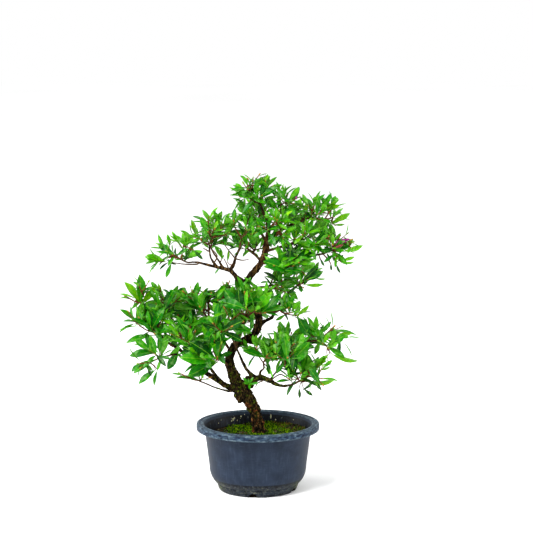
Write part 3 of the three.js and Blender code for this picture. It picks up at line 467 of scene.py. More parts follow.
def curve_point(route, share):
    """The point at a share of a smooth curve through a route, by equal steps from point to point."""
    place = share * (len(route) - 1)
    index = min(int(place), len(route) - 2)
    t = place - index
    a, b = route[index], route[index + 1]
    before = route[index - 1] if index > 0 else 2 * a - b
    after = route[index + 2] if index + 2 < len(route) else 2 * b - a
    leave, arrive = (b - before) / 2, (after - a) / 2
    square = 3 * (b - a) - 2 * leave - arrive
    cube = 2 * (a - b) + leave + arrive
    return a + leave * t + square * t**2 + cube * t**3


def ramp(values, share):
    place = share * (len(values) - 1)
    index = min(int(place), len(values) - 2)
    return lerp(values[index], values[index + 1], place - index)


class Limb:
    """A tapering limb along a smooth curve, with the same straight stretches as its solid."""

    def __init__(self, route, radii):
        self.route = [Vector(point) for point in route]
        self.radii = radii
        fine = [self.point(i / LENGTH_STEPS) for i in range(LENGTH_STEPS + 1)]
        self.length = sum((b - a).length for a, b in zip(fine, fine[1:]))
        count = max(LEAST_STRETCHES, math.floor(self.length / LIMB_STEP + 0.5))
        points = [self.point(i / count) for i in range(count + 1)]
        widths = [self.radius(i / count) for i in range(count + 1)]
        self.lines = [(points[i], points[i + 1], max(widths[i], widths[i + 1])) for i in range(count)]
        self.tip = points[-1]
        self.way = (points[-1] - points[-2]).normalized()

    def point(self, share):
        return curve_point(self.route, share)

    def radius(self, share):
        return ramp(self.radii, share)


def make_limbs():
    limbs = {"trunk": Limb([row[:3] for row in TRUNK], [row[3] for row in TRUNK])}
    for name, (parent, share, radii, route) in BOUGHS.items():
        limbs[name] = Limb([limbs[parent].point(share), *route], radii)
    return limbs


def line_distance(a, b, c, d):
    """The least distance between two straight lines from a to b and from c to d."""
    u, v, w = b - a, d - c, a - c
    uu, uv, vv, uw, vw = u.dot(u), u.dot(v), v.dot(v), u.dot(w), v.dot(w)
    spread = uu * vv - uv * uv
    s = min(max((uv * vw - vv * uw) / spread, 0), 1) if spread > TINY else 0
    t = min(max((uv * s + vw) / vv, 0), 1)
    s = min(max((uv * t - uw) / uu, 0), 1)
    return (w + u * s - v * t).length


def in_box(point):
    """Whether a leaf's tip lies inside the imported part's box, with room for its edge."""
    low, high = cad_box
    return all(low[i] / MM + BOX_MARGIN < point[i] < high[i] / MM - BOX_MARGIN for i in range(3))


def open_sky(point):
    """Whether a point lies in an opening of the crown."""
    x, z = point.x, point.z
    return any(((x - left) / wide) ** 2 + ((z - up) / high) ** 2 < 1 for left, up, wide, high in OPENINGS)


def clear_of(a, b, wood, clearance):
    return all(line_distance(a, b, c, d) > radius + clearance for c, d, radius in wood)


class Mass:
    """A mass of foliage: its space, the joints of its twigs, and the shoots at their ends."""

    def __init__(self, name, limbs):
        on, share, middle, reach, self.shoots, self.leaf, self.turn, self.seed, *fine = MASSES[name]
        self.side_shoots, self.lift, self.fine_seed = fine
        self.name = name
        self.limb = limbs[on]
        self.share = share
        self.middle = Vector(middle)
        self.reach = Vector(reach)

    def out(self, point):
        """Where a point lies from the mass's middle, as shares of its reach."""
        return Vector((point[i] - self.middle[i]) / self.reach[i] for i in range(3))

    def inside(self, point, grown):
        return self.out(point).length <= grown

    def shade(self, point):
        """Painted shade for leaves at a place: less at the mass's top and rim, more low and deep in it."""
        out = self.out(point)
        return lerp(*SHADE, smoothstep(1 - out.length - SHADE_BY_HEIGHT * out.z, *SHADE_DEPTHS))

    def stem(self):
        """The first two points of the stem: off its bough's tip, or off the trunk's side."""
        if self.share == 1:
            return [self.limb.tip + self.limb.way * ahead for ahead in (GAP, STEM_START)]
        heart = self.limb.point(self.share)
        way = (self.middle - heart).normalized()
        off = self.limb.radius(self.share) + GAP
        return [heart + way * ahead for ahead in (off, off + STEM_START)]

    def shoot_places(self, random):
        """Where the shoots end: evenly round the mass from its top down, leaving room for their leaves."""
        places = []
        for i in range(self.shoots):
            up = 1 - (i + 0.5) / self.shoots * (1 - LOWEST_SHOOT)
            turn = math.radians(self.turn + i * GOLDEN_TURN)
            out = math.sqrt(1 - up * up)
            edge = Vector((out * math.cos(turn), out * math.sin(turn), up)) * self.reach
            reach = edge.length
            inside = max(reach - LEAF_INSIDE * self.leaf, NEAREST_SHOOT * reach)
            inside *= lerp(1 - SHOOT_STRAY, 1 + SHOOT_STRAY, random())
            places.append(edge * (inside / reach) + self.middle)
        return places

    def grow(self, wood):
        """Twigs by the source's rule: through a hub to the nearest shoot, then on to each other one."""
        random = seeded(self.seed)
        root, start = self.stem()
        hub = start.lerp(self.middle, HUB_SHARE)
        self.joints = [root, start, hub]
        self.parents = [None, 0, 1]
        ways = [0, 0, (hub - start).length]
        self.tips = []
        self.chains = []
        for place in sorted(self.shoot_places(random), key=lambda point: (point - hub).length):
            free = [i for i in range(HUB, len(self.joints)) if i not in self.tips]
            origin = min(free, key=lambda i: (self.joints[i] - place).length + LONG_WAY_COST * ways[i])
            at = self.joints[origin]
            length = (place - at).length
            for attempt in range(1, TWIG_TRIES + 1):
                stray = TWIG_STRAY * length * attempt
                bend = at.lerp(place, 0.5)
                bend.x += lerp(-stray, stray, random())
                bend.y += lerp(-stray, stray, random())
                bend.z -= TWIG_LIFT * length
                if clear_of(at, bend, wood, TWIG_CLEARANCE) and clear_of(bend, place, wood, TWIG_CLEARANCE):
                    self.add_chain(origin, bend, place, ways, length)
                    break
        ends = zip(self.joints[1:], self.parents[1:])
        self.lines = [(self.joints[parent], joint, TWIG_RADIUS) for joint, parent in ends]

    def add_chain(self, origin, bend, place, ways, length):
        first = not self.chains
        chain = list(range(HUB + 1)) if first else [origin]
        if first or length > STRAIGHT_TWIG:
            self.add_joint(chain, bend, ways, ways[origin] + length / 2)
        self.add_joint(chain, place, ways, ways[origin] + length)
        self.tips.append(chain[-1])
        self.chains.append(chain)

    def add_joint(self, chain, at, ways, way):
        self.parents.append(chain[-1])
        chain.append(len(self.joints))
        self.joints.append(at)
        ways.append(way)

    def draw_in(self):
        """Shoots that would end in an opening of the crown are drawn in towards the twig behind them."""
        for tip in self.tips:
            back = self.joints[self.parents[tip]]
            for _ in range(DRAW_STEPS):
                if open_sky(self.joints[tip]):
                    self.joints[tip] = back.lerp(self.joints[tip], DRAW_SHARE)

    def loads(self):
        """How many shoots hang on each joint."""
        loads = [0] * len(self.joints)
        for tip in self.tips:
            joint = tip
            while joint is not None:
                loads[joint] += 1
                joint = self.parents[joint]
        return loads


def linked(name, data):
    """A new object in the scene."""
    made = bpy.data.objects.new(name, data)
    bpy.context.scene.collection.objects.link(made)
    return made


class Pile:
    """Shapes in millimetres gathered into one joined mesh, each face with the number of its material."""

    def __init__(self):
        self.corners = []
        self.faces = []
        self.kinds = []

    def add(self, corners, faces, kinds=0):
        start = len(self.corners)
        self.corners.extend(corners)
        self.faces.extend([[start + i for i in face] for face in faces])
        self.kinds.extend([kinds] * len(faces) if isinstance(kinds, int) else kinds)

    def make(self, name, materials, smooth=True):
        mesh = bpy.data.meshes.new(name)
        mesh.from_pydata([corner * MM for corner in self.corners], [], self.faces)
        for material in materials:
            mesh.materials.append(material)
        mesh.polygons.foreach_set("material_index", self.kinds)
        mesh.polygons.foreach_set("use_smooth", [smooth] * len(self.faces))
        mesh.update()
        return linked(name, mesh)


def ring_faces(rings, sides):
    """Faces between rings of corners, each ring anticlockwise seen from the last one."""
    faces = []
    for low in range(0, (rings - 1) * sides, sides):
        for i in range(sides):
            beside = (i + 1) % sides
            faces.append([low + i, low + beside, low + sides + beside, low + sides + i])
    return faces


def closed_faces(rings, sides):
    """The same with a face over the first ring and the last."""
    last = (rings - 1) * sides
    return [*ring_faces(rings, sides), list(range(sides))[::-1], list(range(last, last + sides))]


def tube(points, radii, sides):
    """Corners and faces of a closed tapering tube through points."""
    corners = []
    across = None
    for i, point in enumerate(points):
        along = (points[min(i + 1, len(points) - 1)] - points[max(i - 1, 0)]).normalized()
        across = across or square_to(along)
        across = (across - along * across.dot(along)).normalized()
        beside = along.cross(across)
        for side in range(sides):
            corners.append(point + between(across, beside, side / sides * math.tau) * radii[i])
    return corners, closed_faces(len(points), sides)


def smooth_tube(points, radii, sides, steps):
    """A tube along a smooth curve through points, with a number of steps from each to the next."""
    count = (len(points) - 1) * steps
    shares = [i / count for i in range(count + 1)]
    return tube([curve_point(points, s) for s in shares], [ramp(radii, s) for s in shares], sides)


# The turns from a ball's tip to its two flat ends, as shares of half a turn.
BALL_SPAN = (0.06, 0.94)


def add_ball(pile, middle, radii, kind, around, bands, way=UP):
    """A faceted ball or bead, pointing along way."""
    across = square_to(way)
    beside = way.cross(across)
    wide, tall = radii
    corners = []
    for band in range(bands + 1):
        up = math.cos(math.pi * lerp(*BALL_SPAN, 1 - band / bands))
        out = math.sqrt(1 - up * up)
        for side in range(around):
            spoke = between(across, beside, side / around * math.tau)
            corners.append(middle + spoke * (wide * out) + way * (tall * up))
    pile.add(corners, closed_faces(bands + 1, around), kind)


# Materials.


NOISE_ROUGHNESS = 0.6
# The linear colour of a dark screen colour is in proportion to it, and that of others a power.
DARK_SCREEN = 0.04045
DARK_SCALE = 12.92
LIGHT_OFFSET = 0.055
LIGHT_POWER = 2.4


def linear(rgb):
    """A screen colour from 0 to 255 as the linear colour that shaders take."""
    parts = []
    for value in rgb:
        part = value / 255
        raised = ((part + LIGHT_OFFSET) / (1 + LIGHT_OFFSET)) ** LIGHT_POWER
        parts.append(part / DARK_SCALE if part <= DARK_SCREEN else raised)
    return (*parts, 1)


class Finish:
    """A Principled material and the nodes that feed it."""

    def __init__(self, name, roughness, specular):
        self.material = bpy.data.materials.new(name)
        self.material.use_nodes = True
        self.tree = self.material.node_tree
        self.shader = self.tree.nodes["Principled BSDF"].inputs
        self.shader["Roughness"].default_value = roughness
        self.shader["Specular IOR Level"].default_value = specular
        self.place = self.node("ShaderNodeTexCoord").outputs["Object"]

    def feed(self, socket, value):
        """Gives a socket a value, or links it to another node's."""
        if isinstance(value, bpy.types.NodeSocket):
            self.tree.links.new(value, socket)
        else:
            socket.default_value = value

    def node(self, kind, inputs=None, **settings):
        node = self.tree.nodes.new(kind)
        for name, value in settings.items():
            setattr(node, name, value)
        for name, value in (inputs or {}).items():
            self.feed(node.inputs[name], value)
        return node

    def calculated(self, operation, *values):
        return self.node("ShaderNodeMath", dict(enumerate(values)), operation=operation).outputs[0]

    def times(self, a, b):
        return self.calculated("MULTIPLY", a, b)

    def along(self, axis):
        """A place's X, Y or Z in metres."""
        return self.node("ShaderNodeSeparateXYZ", {"Vector": self.place}).outputs[axis]

    def out(self):
        """How far a place is from the pot's axis."""
        level = self.node("ShaderNodeVectorMath", {0: self.place, 1: (1, 1, 0)}, operation="MULTIPLY")
        return self.node("ShaderNodeVectorMath", {0: level.outputs[0]}, operation="LENGTH").outputs["Value"]

    def depth_behind(self, low, high):
        """How far a place lies behind a wall's outer face, by the radius and height of its two ends."""
        lean = (high[0] - low[0]) / (high[1] - low[1])
        above = self.calculated("SUBTRACT", self.along("Z"), low[1] * MM)
        face = self.calculated("ADD", self.times(above, lean), low[0] * MM)
        return self.calculated("SUBTRACT", face, self.out())

    def stretched(self, rise):
        """Places drawn out upwards, where a height counts as only a share of itself."""
        inputs = {"Vector": self.place, "Scale": (1, 1, rise)}
        return self.node("ShaderNodeMapping", inputs).outputs["Vector"]

    def round_about(self, stretch):
        """Places by the way round the pot from its front, the radius and the height, drawn out round it."""
        turn = self.calculated("ARCTAN2", self.along("X"), self.times(self.along("Y"), -1))
        inputs = {"X": self.times(turn, RIM_RADIUS * MM / stretch), "Y": self.out(), "Z": self.along("Z")}
        return self.node("ShaderNodeCombineXYZ", inputs).outputs[0]

    def noise(self, size, detail=4.0, place=None):
        """Noise from 0 to 1 whose patches are about a size across, in millimetres."""
        inputs = {"Vector": place or self.place, "Scale": 1 / (size * MM), "Detail": detail}
        return self.node("ShaderNodeTexNoise", {**inputs, "Roughness": NOISE_ROUGHNESS}).outputs["Fac"]

    def step(self, value, low, high):
        """0 below low, 1 above high, and smooth between."""
        inputs = {"Value": value, "From Min": low, "From Max": high}
        return self.node("ShaderNodeMapRange", inputs, interpolation_type="SMOOTHSTEP").outputs["Result"]

    def past(self, value, low, high):
        """The same for a length, with its limits in millimetres."""
        return self.step(value, low * MM, high * MM)

    def near(self, value, middle, inner, outer):
        """1 within inner of a length and 0 beyond outer, in millimetres."""
        below = self.past(value, middle - outer, middle - inner)
        return self.times(below, self.past(value, middle + outer, middle + inner))

    def tints(self, value, colours):
        """A colour that runs through screen colours, each at its place from 0 to 1."""
        node = self.node("ShaderNodeValToRGB", {"Fac": value})
        stops = node.color_ramp.elements
        while len(stops) < len(colours):
            stops.new(0.5)
        for stop, (place, rgb) in zip(stops, colours):
            stop.position = place
            stop.color = linear(rgb)
        return node.outputs["Color"]

    def two_tone(self, value, dark, light, stops=(0.36, 0.64)):
        return self.tints(value, list(zip(stops, (dark, light))))

    def mixed(self, share, first, second):
        return self.node("ShaderNodeMix", {0: share, 6: first, 7: second}, data_type="RGBA").outputs[2]

    def use(self, colour, bump, bump_size, strength=0.4):
        """The finished material, with a relief of a size in millimetres."""
        inputs = {"Height": bump, "Distance": bump_size * MM, "Strength": strength}
        self.feed(self.shader["Normal"], self.node("ShaderNodeBump", inputs).outputs["Normal"])
        self.feed(self.shader["Base Color"], colour)
        return self.material


# A painted sheen: a pale greyish highlight painted on some leaves, fainter on darker ones, and how much of
# their colour it takes.
PAINTED_LEAF_SHEEN = (128, 170, 100)
PAINTED_SHEEN_SHARE = 0.5
# Leaf tones from the palest young leaves to the darkest old ones.
LEAF_TONES = [
    ("leaf_young", (98, 162, 0), (136, 190, 8)),
    ("leaf_fresh", (66, 140, 0), (106, 168, 4)),
    ("leaf_green", (40, 122, 0), (80, 148, 4)),
    ("leaf_full", (16, 104, 0), (54, 130, 6)),
    ("leaf_deep", (0, 80, 0), (26, 108, 4)),
    ("leaf_old", (0, 44, 0), (10, 76, 6)),
]
RIB = len(LEAF_TONES)
UNDERSIDE = RIB + 1


def leaf_finish(name, dark, light, roughness=0.34):
    finish = Finish(name, roughness, specular=0.11)
    colour = finish.two_tone(finish.noise(4.5), dark, light)
    # Painted highlight: a greyish sheen laid in patches over the leaf's own colour.
    painted_sheen = finish.step(finish.noise(8, detail=2), 0.55, 0.68)
    share = PAINTED_SHEEN_SHARE * light[1] / PAINTED_LEAF_SHEEN[1]
    colour = finish.mixed(finish.times(painted_sheen, share), colour, linear(PAINTED_LEAF_SHEEN))
    return finish.use(colour, finish.noise(1.2), 0.15, strength=0.3)


def leaf_finishes():
    finishes = [leaf_finish(*tone) for tone in LEAF_TONES]
    finishes.append(leaf_finish("leaf_rib", (80, 140, 10), (116, 168, 38)))
    finishes.append(leaf_finish("leaf_underside", (62, 144, 12), (100, 176, 40), roughness=0.6))
    return finishes


def twig_finish(name, dark, light):
    finish = Finish(name, 0.75, specular=0.12)
    colour = finish.two_tone(finish.noise(3), dark, light, stops=(0.3, 0.7))
    return finish.use(colour, finish.noise(0.8), 0.2, strength=0.5)


def moss_finish(name, dark, light):
    finish = Finish(name, 0.9, specular=0)
    return finish.use(finish.two_tone(finish.noise(4), dark, light), finish.noise(0.7), 0.3)


def flower_finish(name, dark, light):
    finish = Finish(name, 0.5, specular=0.2)
    return finish.use(finish.two_tone(finish.noise(2), dark, light), finish.noise(1), 0.15)


# The heights between which the bark turns orange towards its foot and redder towards its tip, and between
# which moss comes in on it and goes again. Then how much of its colour the first two take.
ORANGE_BARK = (116, 100)
RED_BARK = (255, 310)
MOSSY_BARK = (84, 100)
MOSSLESS_BARK = (200, 130)
ORANGE_SHARE = 0.85
RED_SHARE = 0.7


def bark_finish():
    """Brown fibres over dark cracks, orange near the foot, mossy at the collar and redder in the crown."""
    finish = Finish("bark", 0.95, specular=0.08)
    height = finish.along("Z")
    fine = finish.noise(1.3, detail=8, place=finish.stretched(0.45))
    fibres = finish.noise(2.1, detail=6, place=finish.stretched(0.3))
    brown = [(0.38, (2, 1, 0)), (0.5, (20, 14, 5)), (0.6, (66, 50, 22)), (0.72, (122, 98, 56))]
    orange = [(0.36, (16, 7, 2)), (0.5, (88, 46, 18)), (0.66, (168, 108, 56))]
    red = [(0.38, (14, 7, 2)), (0.52, (66, 38, 16)), (0.68, (138, 92, 52))]
    moss = [(0.36, (7, 11, 0)), (0.5, (40, 50, 4)), (0.66, (98, 112, 18))]
    foot = finish.times(finish.past(height, *ORANGE_BARK), ORANGE_SHARE)
    worn = finish.times(finish.step(finish.noise(9), 0.5, 0.58), foot)
    bare = finish.mixed(worn, finish.tints(fibres, brown), finish.tints(fibres, orange))
    young = finish.times(finish.past(height, *RED_BARK), RED_SHARE)
    bare = finish.mixed(young, bare, finish.tints(fibres, red))
    low = finish.times(finish.past(height, *MOSSLESS_BARK), finish.past(height, *MOSSY_BARK))
    mossy = finish.times(finish.step(finish.noise(5), 0.52, 0.62), low)
    return finish.use(finish.mixed(mossy, bare, finish.tints(fine, moss)), fine, 0.5, strength=0.7)


# The limits between which the pot's looks change. The rim's are measured from its underside and its mouth.
RIM_UNDERSIDE = (-1, 0.2)
RIM_INSIDE = (-0.9, 0.1)
BELOW_RIM = (-0.2, -0.9)
# The next limits bound painted shade: the dark inner wall and the dark inside of each notch.
INNER_WALL_DEPTH = (0.8, 1.4)
NOTCH_DEPTH = (0.6, 1.4)
NOTCH_FLOOR = (0.2, 0.6)
NOTCH_ROOF = (8.5, 8)
LIMY_FOOT = (19, 7.5)
GREEN_SIDES = (36, 47)
# The blue band round the rim, and how far from its middle it and the groove's blue are full and end.
BAND_HEIGHT = 78
BAND_REACH = (1.5, 2.5)
GROOVE_REACH = (0.5, 1.6)


def pot_body(finish, cloudy):
    """Dark blue-grey with faint pale streaks down it and scratches round it."""
    streaks = finish.noise(2.4, place=finish.stretched(0.07))
    scratches = finish.noise(1.1, place=finish.round_about(14))
    body = finish.two_tone(cloudy, (22, 31, 45), (32, 42, 58), stops=(0.35, 0.65))
    pale = finish.two_tone(cloudy, (34, 43, 57), (46, 58, 74), stops=(0.35, 0.65))
    body = finish.mixed(finish.times(finish.step(streaks, 0.45, 0.72), 0.45), body, pale)
    return finish.mixed(finish.times(finish.step(scratches, 0.56, 0.7), 0.6), body, pale)


def pot_rim(finish, body, scuffs):
    """A greyer rim, scuffed pale, with a bluer band round it and in its groove."""
    height, out = finish.along("Z"), finish.out()
    patchy = finish.noise(9, place=finish.round_about(2))
    grey = [(0.34, (18, 28, 42)), (0.5, (52, 68, 81)), (0.62, (78, 93, 104)), (0.76, (124, 137, 146))]
    blue = [(0.36, (6, 13, 30)), (0.52, (28, 44, 64)), (0.64, (54, 74, 92)), (0.76, (98, 120, 136))]
    lip, navy = finish.tints(scuffs, grey), finish.tints(scuffs, blue)
    band = finish.near(height, BAND_HEIGHT, *BAND_REACH)
    worn = finish.mixed(finish.times(band, finish.step(patchy, 0.3, 0.55)), lip, navy)
    groove = finish.near(out, GROOVE_RADIUS, *GROOVE_REACH)
    worn = finish.mixed(finish.times(groove, 0.75), worn, navy)
    above = finish.past(height, *[RIM_BOTTOM + z for z in RIM_UNDERSIDE])
    outside = finish.past(out, *[RIM_MOUTH + r for r in RIM_INSIDE])
    return finish.mixed(finish.times(above, outside), body, worn)


def pot_shaded_inside(finish, body):
    """Painted shade: the inner wall made black, with a few pale drips."""
    drips = finish.noise(2.2, detail=5, place=finish.stretched(0.16))
    black = [(0.42, (1, 2, 5)), (0.56, (7, 13, 22)), (0.66, (32, 41, 54)), (0.74, (150, 152, 130))]
    depth = finish.depth_behind((BELLY_RADIUS, BELLY_HEIGHT), (BODY_TOP_RADIUS, RIM_BOTTOM))
    below = finish.past(finish.out(), *[RIM_MOUTH + r for r in BELOW_RIM])
    # Painted shade: behind the rim's mouth the inner wall takes the black tints, which keep pale drips.
    inside = finish.times(below, finish.past(depth, *INNER_WALL_DEPTH))
    return finish.mixed(inside, body, finish.tints(drips, black))


def pot_foot(finish, body):
    """Limescale round the foot, green film at its sides, and painted shade, near black, inside the notches."""
    height = finish.along("Z")
    blotches = finish.noise(2.2, detail=6)
    lime = [(0.36, (18, 23, 32)), (0.5, (40, 47, 55)), (0.6, (66, 70, 68)), (0.72, (112, 114, 88))]
    algae = [(0.38, (20, 26, 14)), (0.55, (48, 56, 24)), (0.7, (104, 116, 40))]
    low = finish.times(finish.past(height, *LIMY_FOOT), finish.step(finish.noise(6), 0.3, 0.62))
    body = finish.mixed(low, body, finish.tints(blotches, lime))
    sides = finish.past(finish.calculated("ABSOLUTE", finish.along("X")), *GREEN_SIDES)
    body = finish.mixed(finish.times(low, finish.times(sides, 0.75)), body, finish.tints(blotches, algae))
    # Painted shade: the inside of each notch is made near black.
    depth = finish.depth_behind((FOOT_RADIUS, 0), (FOOT_LEDGE, FOOT_HEIGHT))
    notch_shade = finish.times(finish.past(height, *NOTCH_FLOOR), finish.past(depth, *NOTCH_DEPTH))
    notch_shade = finish.times(notch_shade, finish.past(height, *NOTCH_ROOF))
    return finish.mixed(notch_shade, body, linear((2, 2, 3)))


def pot_finish():
    """Satin plastic, cloudy and worn."""
    finish = Finish("pot_plastic", 0.5, specular=0.1)
    cloudy = finish.noise(22, detail=3)
    scuffs = finish.noise(2.8, detail=6, place=finish.round_about(2))
    colour = pot_rim(finish, pot_body(finish, cloudy), scuffs)
    colour = pot_foot(finish, pot_shaded_inside(finish, colour))
    rough = finish.node("ShaderNodeMapRange", {"Value": cloudy, "To Min": 0.4, "To Max": 0.58})
    finish.feed(finish.shader["Roughness"], rough.outputs["Result"])
    return finish.use(colour, scuffs, 0.12, strength=0.3)


# Where, from left to right, bare earth gives way to green soil.
GREEN_SOIL = (-50, -30)


def soil_finish():
    finish = Finish("soil", 0.95, specular=0.05)
    fine = finish.noise(1.4, detail=8)
    earth = finish.two_tone(fine, (5, 4, 2), (34, 26, 14), stops=(0.35, 0.65))
    green = finish.two_tone(fine, (9, 17, 0), (38, 62, 2), stops=(0.35, 0.65))
    patchy = finish.step(finish.noise(16), 0.36, 0.5)
    grown = finish.times(patchy, finish.past(finish.along("X"), *GREEN_SOIL))
    return finish.use(finish.mixed(grown, earth, green), fine, 1, strength=0.8)


# The pot and soil.


def wall_radius(height):
    """The pot's outer radius at a height on its body."""
    if height >= BELLY_HEIGHT:
        return lerp(BELLY_RADIUS, BODY_TOP_RADIUS, (height - BELLY_HEIGHT) / (RIM_BOTTOM - BELLY_HEIGHT))
    drop = (BELLY_HEIGHT - height) / BELLY_DROP
    return BELLY_RADIUS - BELLY_TURN * (1 - math.sqrt(1 - drop * drop))


def rounded(profile):
    """A profile of (radius, height, rounding) corners with each rounded corner cut by a small curve."""
    points = []
    for i, (radius, height, rounding) in enumerate(profile):
        corner = Vector((radius, height))
        if not rounding:
            points.append(corner)
            continue
        before = Vector(profile[i - 1][:2]) - corner
        after = Vector(profile[i + 1][:2]) - corner
        start = corner + before.normalized() * min(rounding, before.length / 2)
        end = corner + after.normalized() * min(rounding, after.length / 2)
        for step in range(CORNER_STEPS + 1):
            share = step / CORNER_STEPS
            points.append(start.lerp(corner, share).lerp(corner.lerp(end, share), share))
    return points


def circle(radius, height, sides):
    """Corners round the pot's axis, anticlockwise from above."""
    turns = [i / sides * math.tau for i in range(sides)]
    return [Vector((math.cos(turn) * radius, math.sin(turn) * radius, height)) for turn in turns]


def lathe(profile, sides):
    """Corners and faces of a closed solid of revolution whose profile starts and ends on its axis."""
    middle = profile[1:-1]
    corners = [corner for radius, height in middle for corner in circle(radius, height, sides)]
    faces = ring_faces(len(middle), sides)
    first, last = len(corners), len(corners) + 1
    corners += [Vector((0, 0, profile[0][1])), Vector((0, 0, profile[-1][1]))]
    top = (len(middle) - 1) * sides
    faces += [[first, (i + 1) % sides, i] for i in range(sides)]
    faces += [[last, top + i, top + (i + 1) % sides] for i in range(sides)]
    return corners, faces


def evaluated(made, name):
    """A new object with the mesh that an object's modifiers make, in its place."""
    bpy.context.view_layer.update()
    mesh = bpy.data.meshes.new_from_object(made.evaluated_get(bpy.context.evaluated_depsgraph_get()))
    mesh.name = name
    bpy.data.objects.remove(made)
    return linked(name, mesh)


def pot_profile():
    """The pot's outline from the middle of its underside, over its rim and down to its floor's middle."""
    body = [(wall_radius(z), z, 0) for z in BODY_HEIGHTS]
    inside = [(wall_radius(z) - WALL, z, 0) for z in INSIDE_HEIGHTS]
    return rounded([
        (0, 0, 0),
        (FOOT_RADIUS, 0, 0.8),
        (FOOT_LEDGE, FOOT_HEIGHT, 0.5),
        *body,
        (BODY_TOP_RADIUS, RIM_BOTTOM, 0.4),
        (RIM_RADIUS, RIM_BOTTOM, 1.2),
        (RIM_RADIUS, RIM_EDGE, 2),
        (GROOVE_RADIUS + GROOVE_WIDTH, POT_HEIGHT, 1),
        (GROOVE_RADIUS, POT_HEIGHT - GROOVE_DEPTH, 0.8),
        (GROOVE_RADIUS - GROOVE_WIDTH, (POT_HEIGHT + RIM_EDGE) / 2, 1),
        (RIM_MOUTH, RIM_EDGE, 1.2),
        *inside,
        (FLOOR_RADIUS, FLOOR_TOP, 0),
        (0, FLOOR_TOP, 0),
    ])


def notch_ways():
    """The way from the pot's axis to each drainage notch."""
    return [turned(RIGHT, UP, NOTCH_TURN - 90 + 360 / NOTCHES * i) for i in range(NOTCHES)]


def make_pot(finish):
    shell, holes = Pile(), Pile()
    shell.add(*lathe(pot_profile(), POT_SIDES))
    for way in notch_ways():
        channel = [way * reach - UP * NOTCH_DROP for reach in (CHANNEL_START, RIM_RADIUS)]
        drain = [way * (CHANNEL_START + DRAIN_RADIUS) + UP * z for z in DRAIN_HEIGHTS]
        for points, radius in ((channel, NOTCH_RADIUS), (drain, DRAIN_RADIUS)):
            holes.add(*tube(points, [radius] * 2, HOLE_SIDES))
    pot = shell.make("pot_shell", [finish])
    cutter = holes.make("pot_holes", [])
    cut = pot.modifiers.new("holes", "BOOLEAN")
    cut.object = cutter
    cut.operation = "DIFFERENCE"
    cut.solver = "EXACT"
    cut.use_self = True
    pot = evaluated(pot, "training_pot")
    bpy.data.objects.remove(cutter)
    pot.data.set_sharp_from_angle(angle=math.radians(SHARPEST_SMOOTH))
    return pot


def soil_height(x, y):
    """The soil's height at a place: level round the trunk's foot, and sunk a little below its solid."""
    slope = (SOIL_RISE_RIGHT * x + SOIL_RISE_BACK * y) / BELLY_RADIUS
    wide = math.sin(x / WIDE_WAVES[0] + 1) * math.cos(y / WIDE_WAVES[1])
    small = math.sin(x / SMALL_WAVES[0] + y / SMALL_WAVES[1])
    level = SOIL_LEVEL + slope + MOSS_MOUND * (wide + small / 2)
    away = smoothstep(math.hypot(x, y), FLAT_AROUND_TRUNK, SLOPE_END * FLAT_AROUND_TRUNK)
    return lerp(GROUND - GAP, level, away) - SOIL_SUNK


def soil_surface(x, y):
    """The same with its lumps."""
    coarse, fine = [noise.noise(Vector((x, y, up)) / size) for up, size in LUMP_LAYERS]
    return soil_height(x, y) + LUMP_RISE * (coarse + fine / 2) - LUMP_DROP


def make_soil(finish):
    clear = WALL + GAP
    rings = circle(FLOOR_RADIUS - 2 * GAP, FLOOR_TOP + GAP, SOIL_SIDES)
    for height in (BELLY_HEIGHT / 2, BELLY_HEIGHT):
        rings += circle(wall_radius(height) - clear, height, SOIL_SIDES)
    for i in range(SOIL_RINGS):
        ring = circle((wall_radius(SOIL_LEVEL) - clear) * (1 - i / SOIL_RINGS), 0, SOIL_SIDES)
        rings += [Vector((x, y, soil_surface(x, y))) for x, y, _ in ring]
    pile = Pile()
    pile.add(rings, closed_faces(len(rings) // SOIL_SIDES, SOIL_SIDES))
    return pile.make("mossy_soil", [finish])


# Moss and grains lie clear of the pot's wall and the trunk's foot. Then their stray turn, numbers and seeds.
WALL_CLEARANCE = 1.5
FOOT_CLEARANCE = 8
TURN_STRAY = 20
MOSS_TUFTS = 5200
MOSS_SEED = 11
GRAINS = 900
GRAIN_SEED = 23

# Where moss grows: the x between which it comes in and thins out, and the noise of its patches.
MOSS_START = (-46, -24)
MOSS_THINS = (40, 52)
MOSS_THINNER = 0.6
MOSS_PATCH = 15
MOSS_NOISE_PLACE = Vector((40, 0, 3))
MOSS_PATCHES = (-0.42, -0.1)
# Where its tufts are dry, and how many of them, and the share of the others that is bright, which is
# painted light standing for tufts that catch the light, with how much and over what distance it varies.
DRY_START = (38, 52)
DRY_SHARE = 0.8
BRIGHT_SHARE = 0.5
BRIGHT_VARIES = 0.9
BRIGHT_PATCH = 3
# A tuft's blades: their height and how much of it lush growth gives, and each blade's half width, lean, stray
# turn and share of that height.
MOSS_BLADES = 5
BLADE_SUNK = 0.3
BLADE_HEIGHT = (1.1, 2.5)
LUSHNESS = (0.7, 1.5)
LUSH_PATCH = 5
LUSH_PATCHES = (-0.2, 0.4)
BLADE_HALF_WIDTH = 0.3
BLADE_LEAN = (0.3, 1.3)
BLADE_STRAY = 70
BLADE_SHARE = (0.6, 1)

# Grains: the share of them that moss hides, their radius and flatness, and how far they stand out.
HIDDEN_GRAINS = 0.85
GRAIN_RADIUS = (0.5, 1.7)
GRAIN_FLATNESS = (0.5, 0.9)
GRAIN_OUT = 0.2
GRAIN_KINDS = 3
GRAIN_FACETS = (5, 3)
# Dark lumps that fill each drainage notch, painted shade standing for the shadow inside it: how far each
# lump lies from its middle, and its radius.
NOTCH_SHADE_LUMPS = [(-3.4, 1.7), (-1.6, 2.1), (0.3, 2.3), (2.2, 2.0), (3.7, 1.6)]
SHADE_LUMP_DEPTH = 1.2
SHADE_LUMP_FACETS = (8, 6)
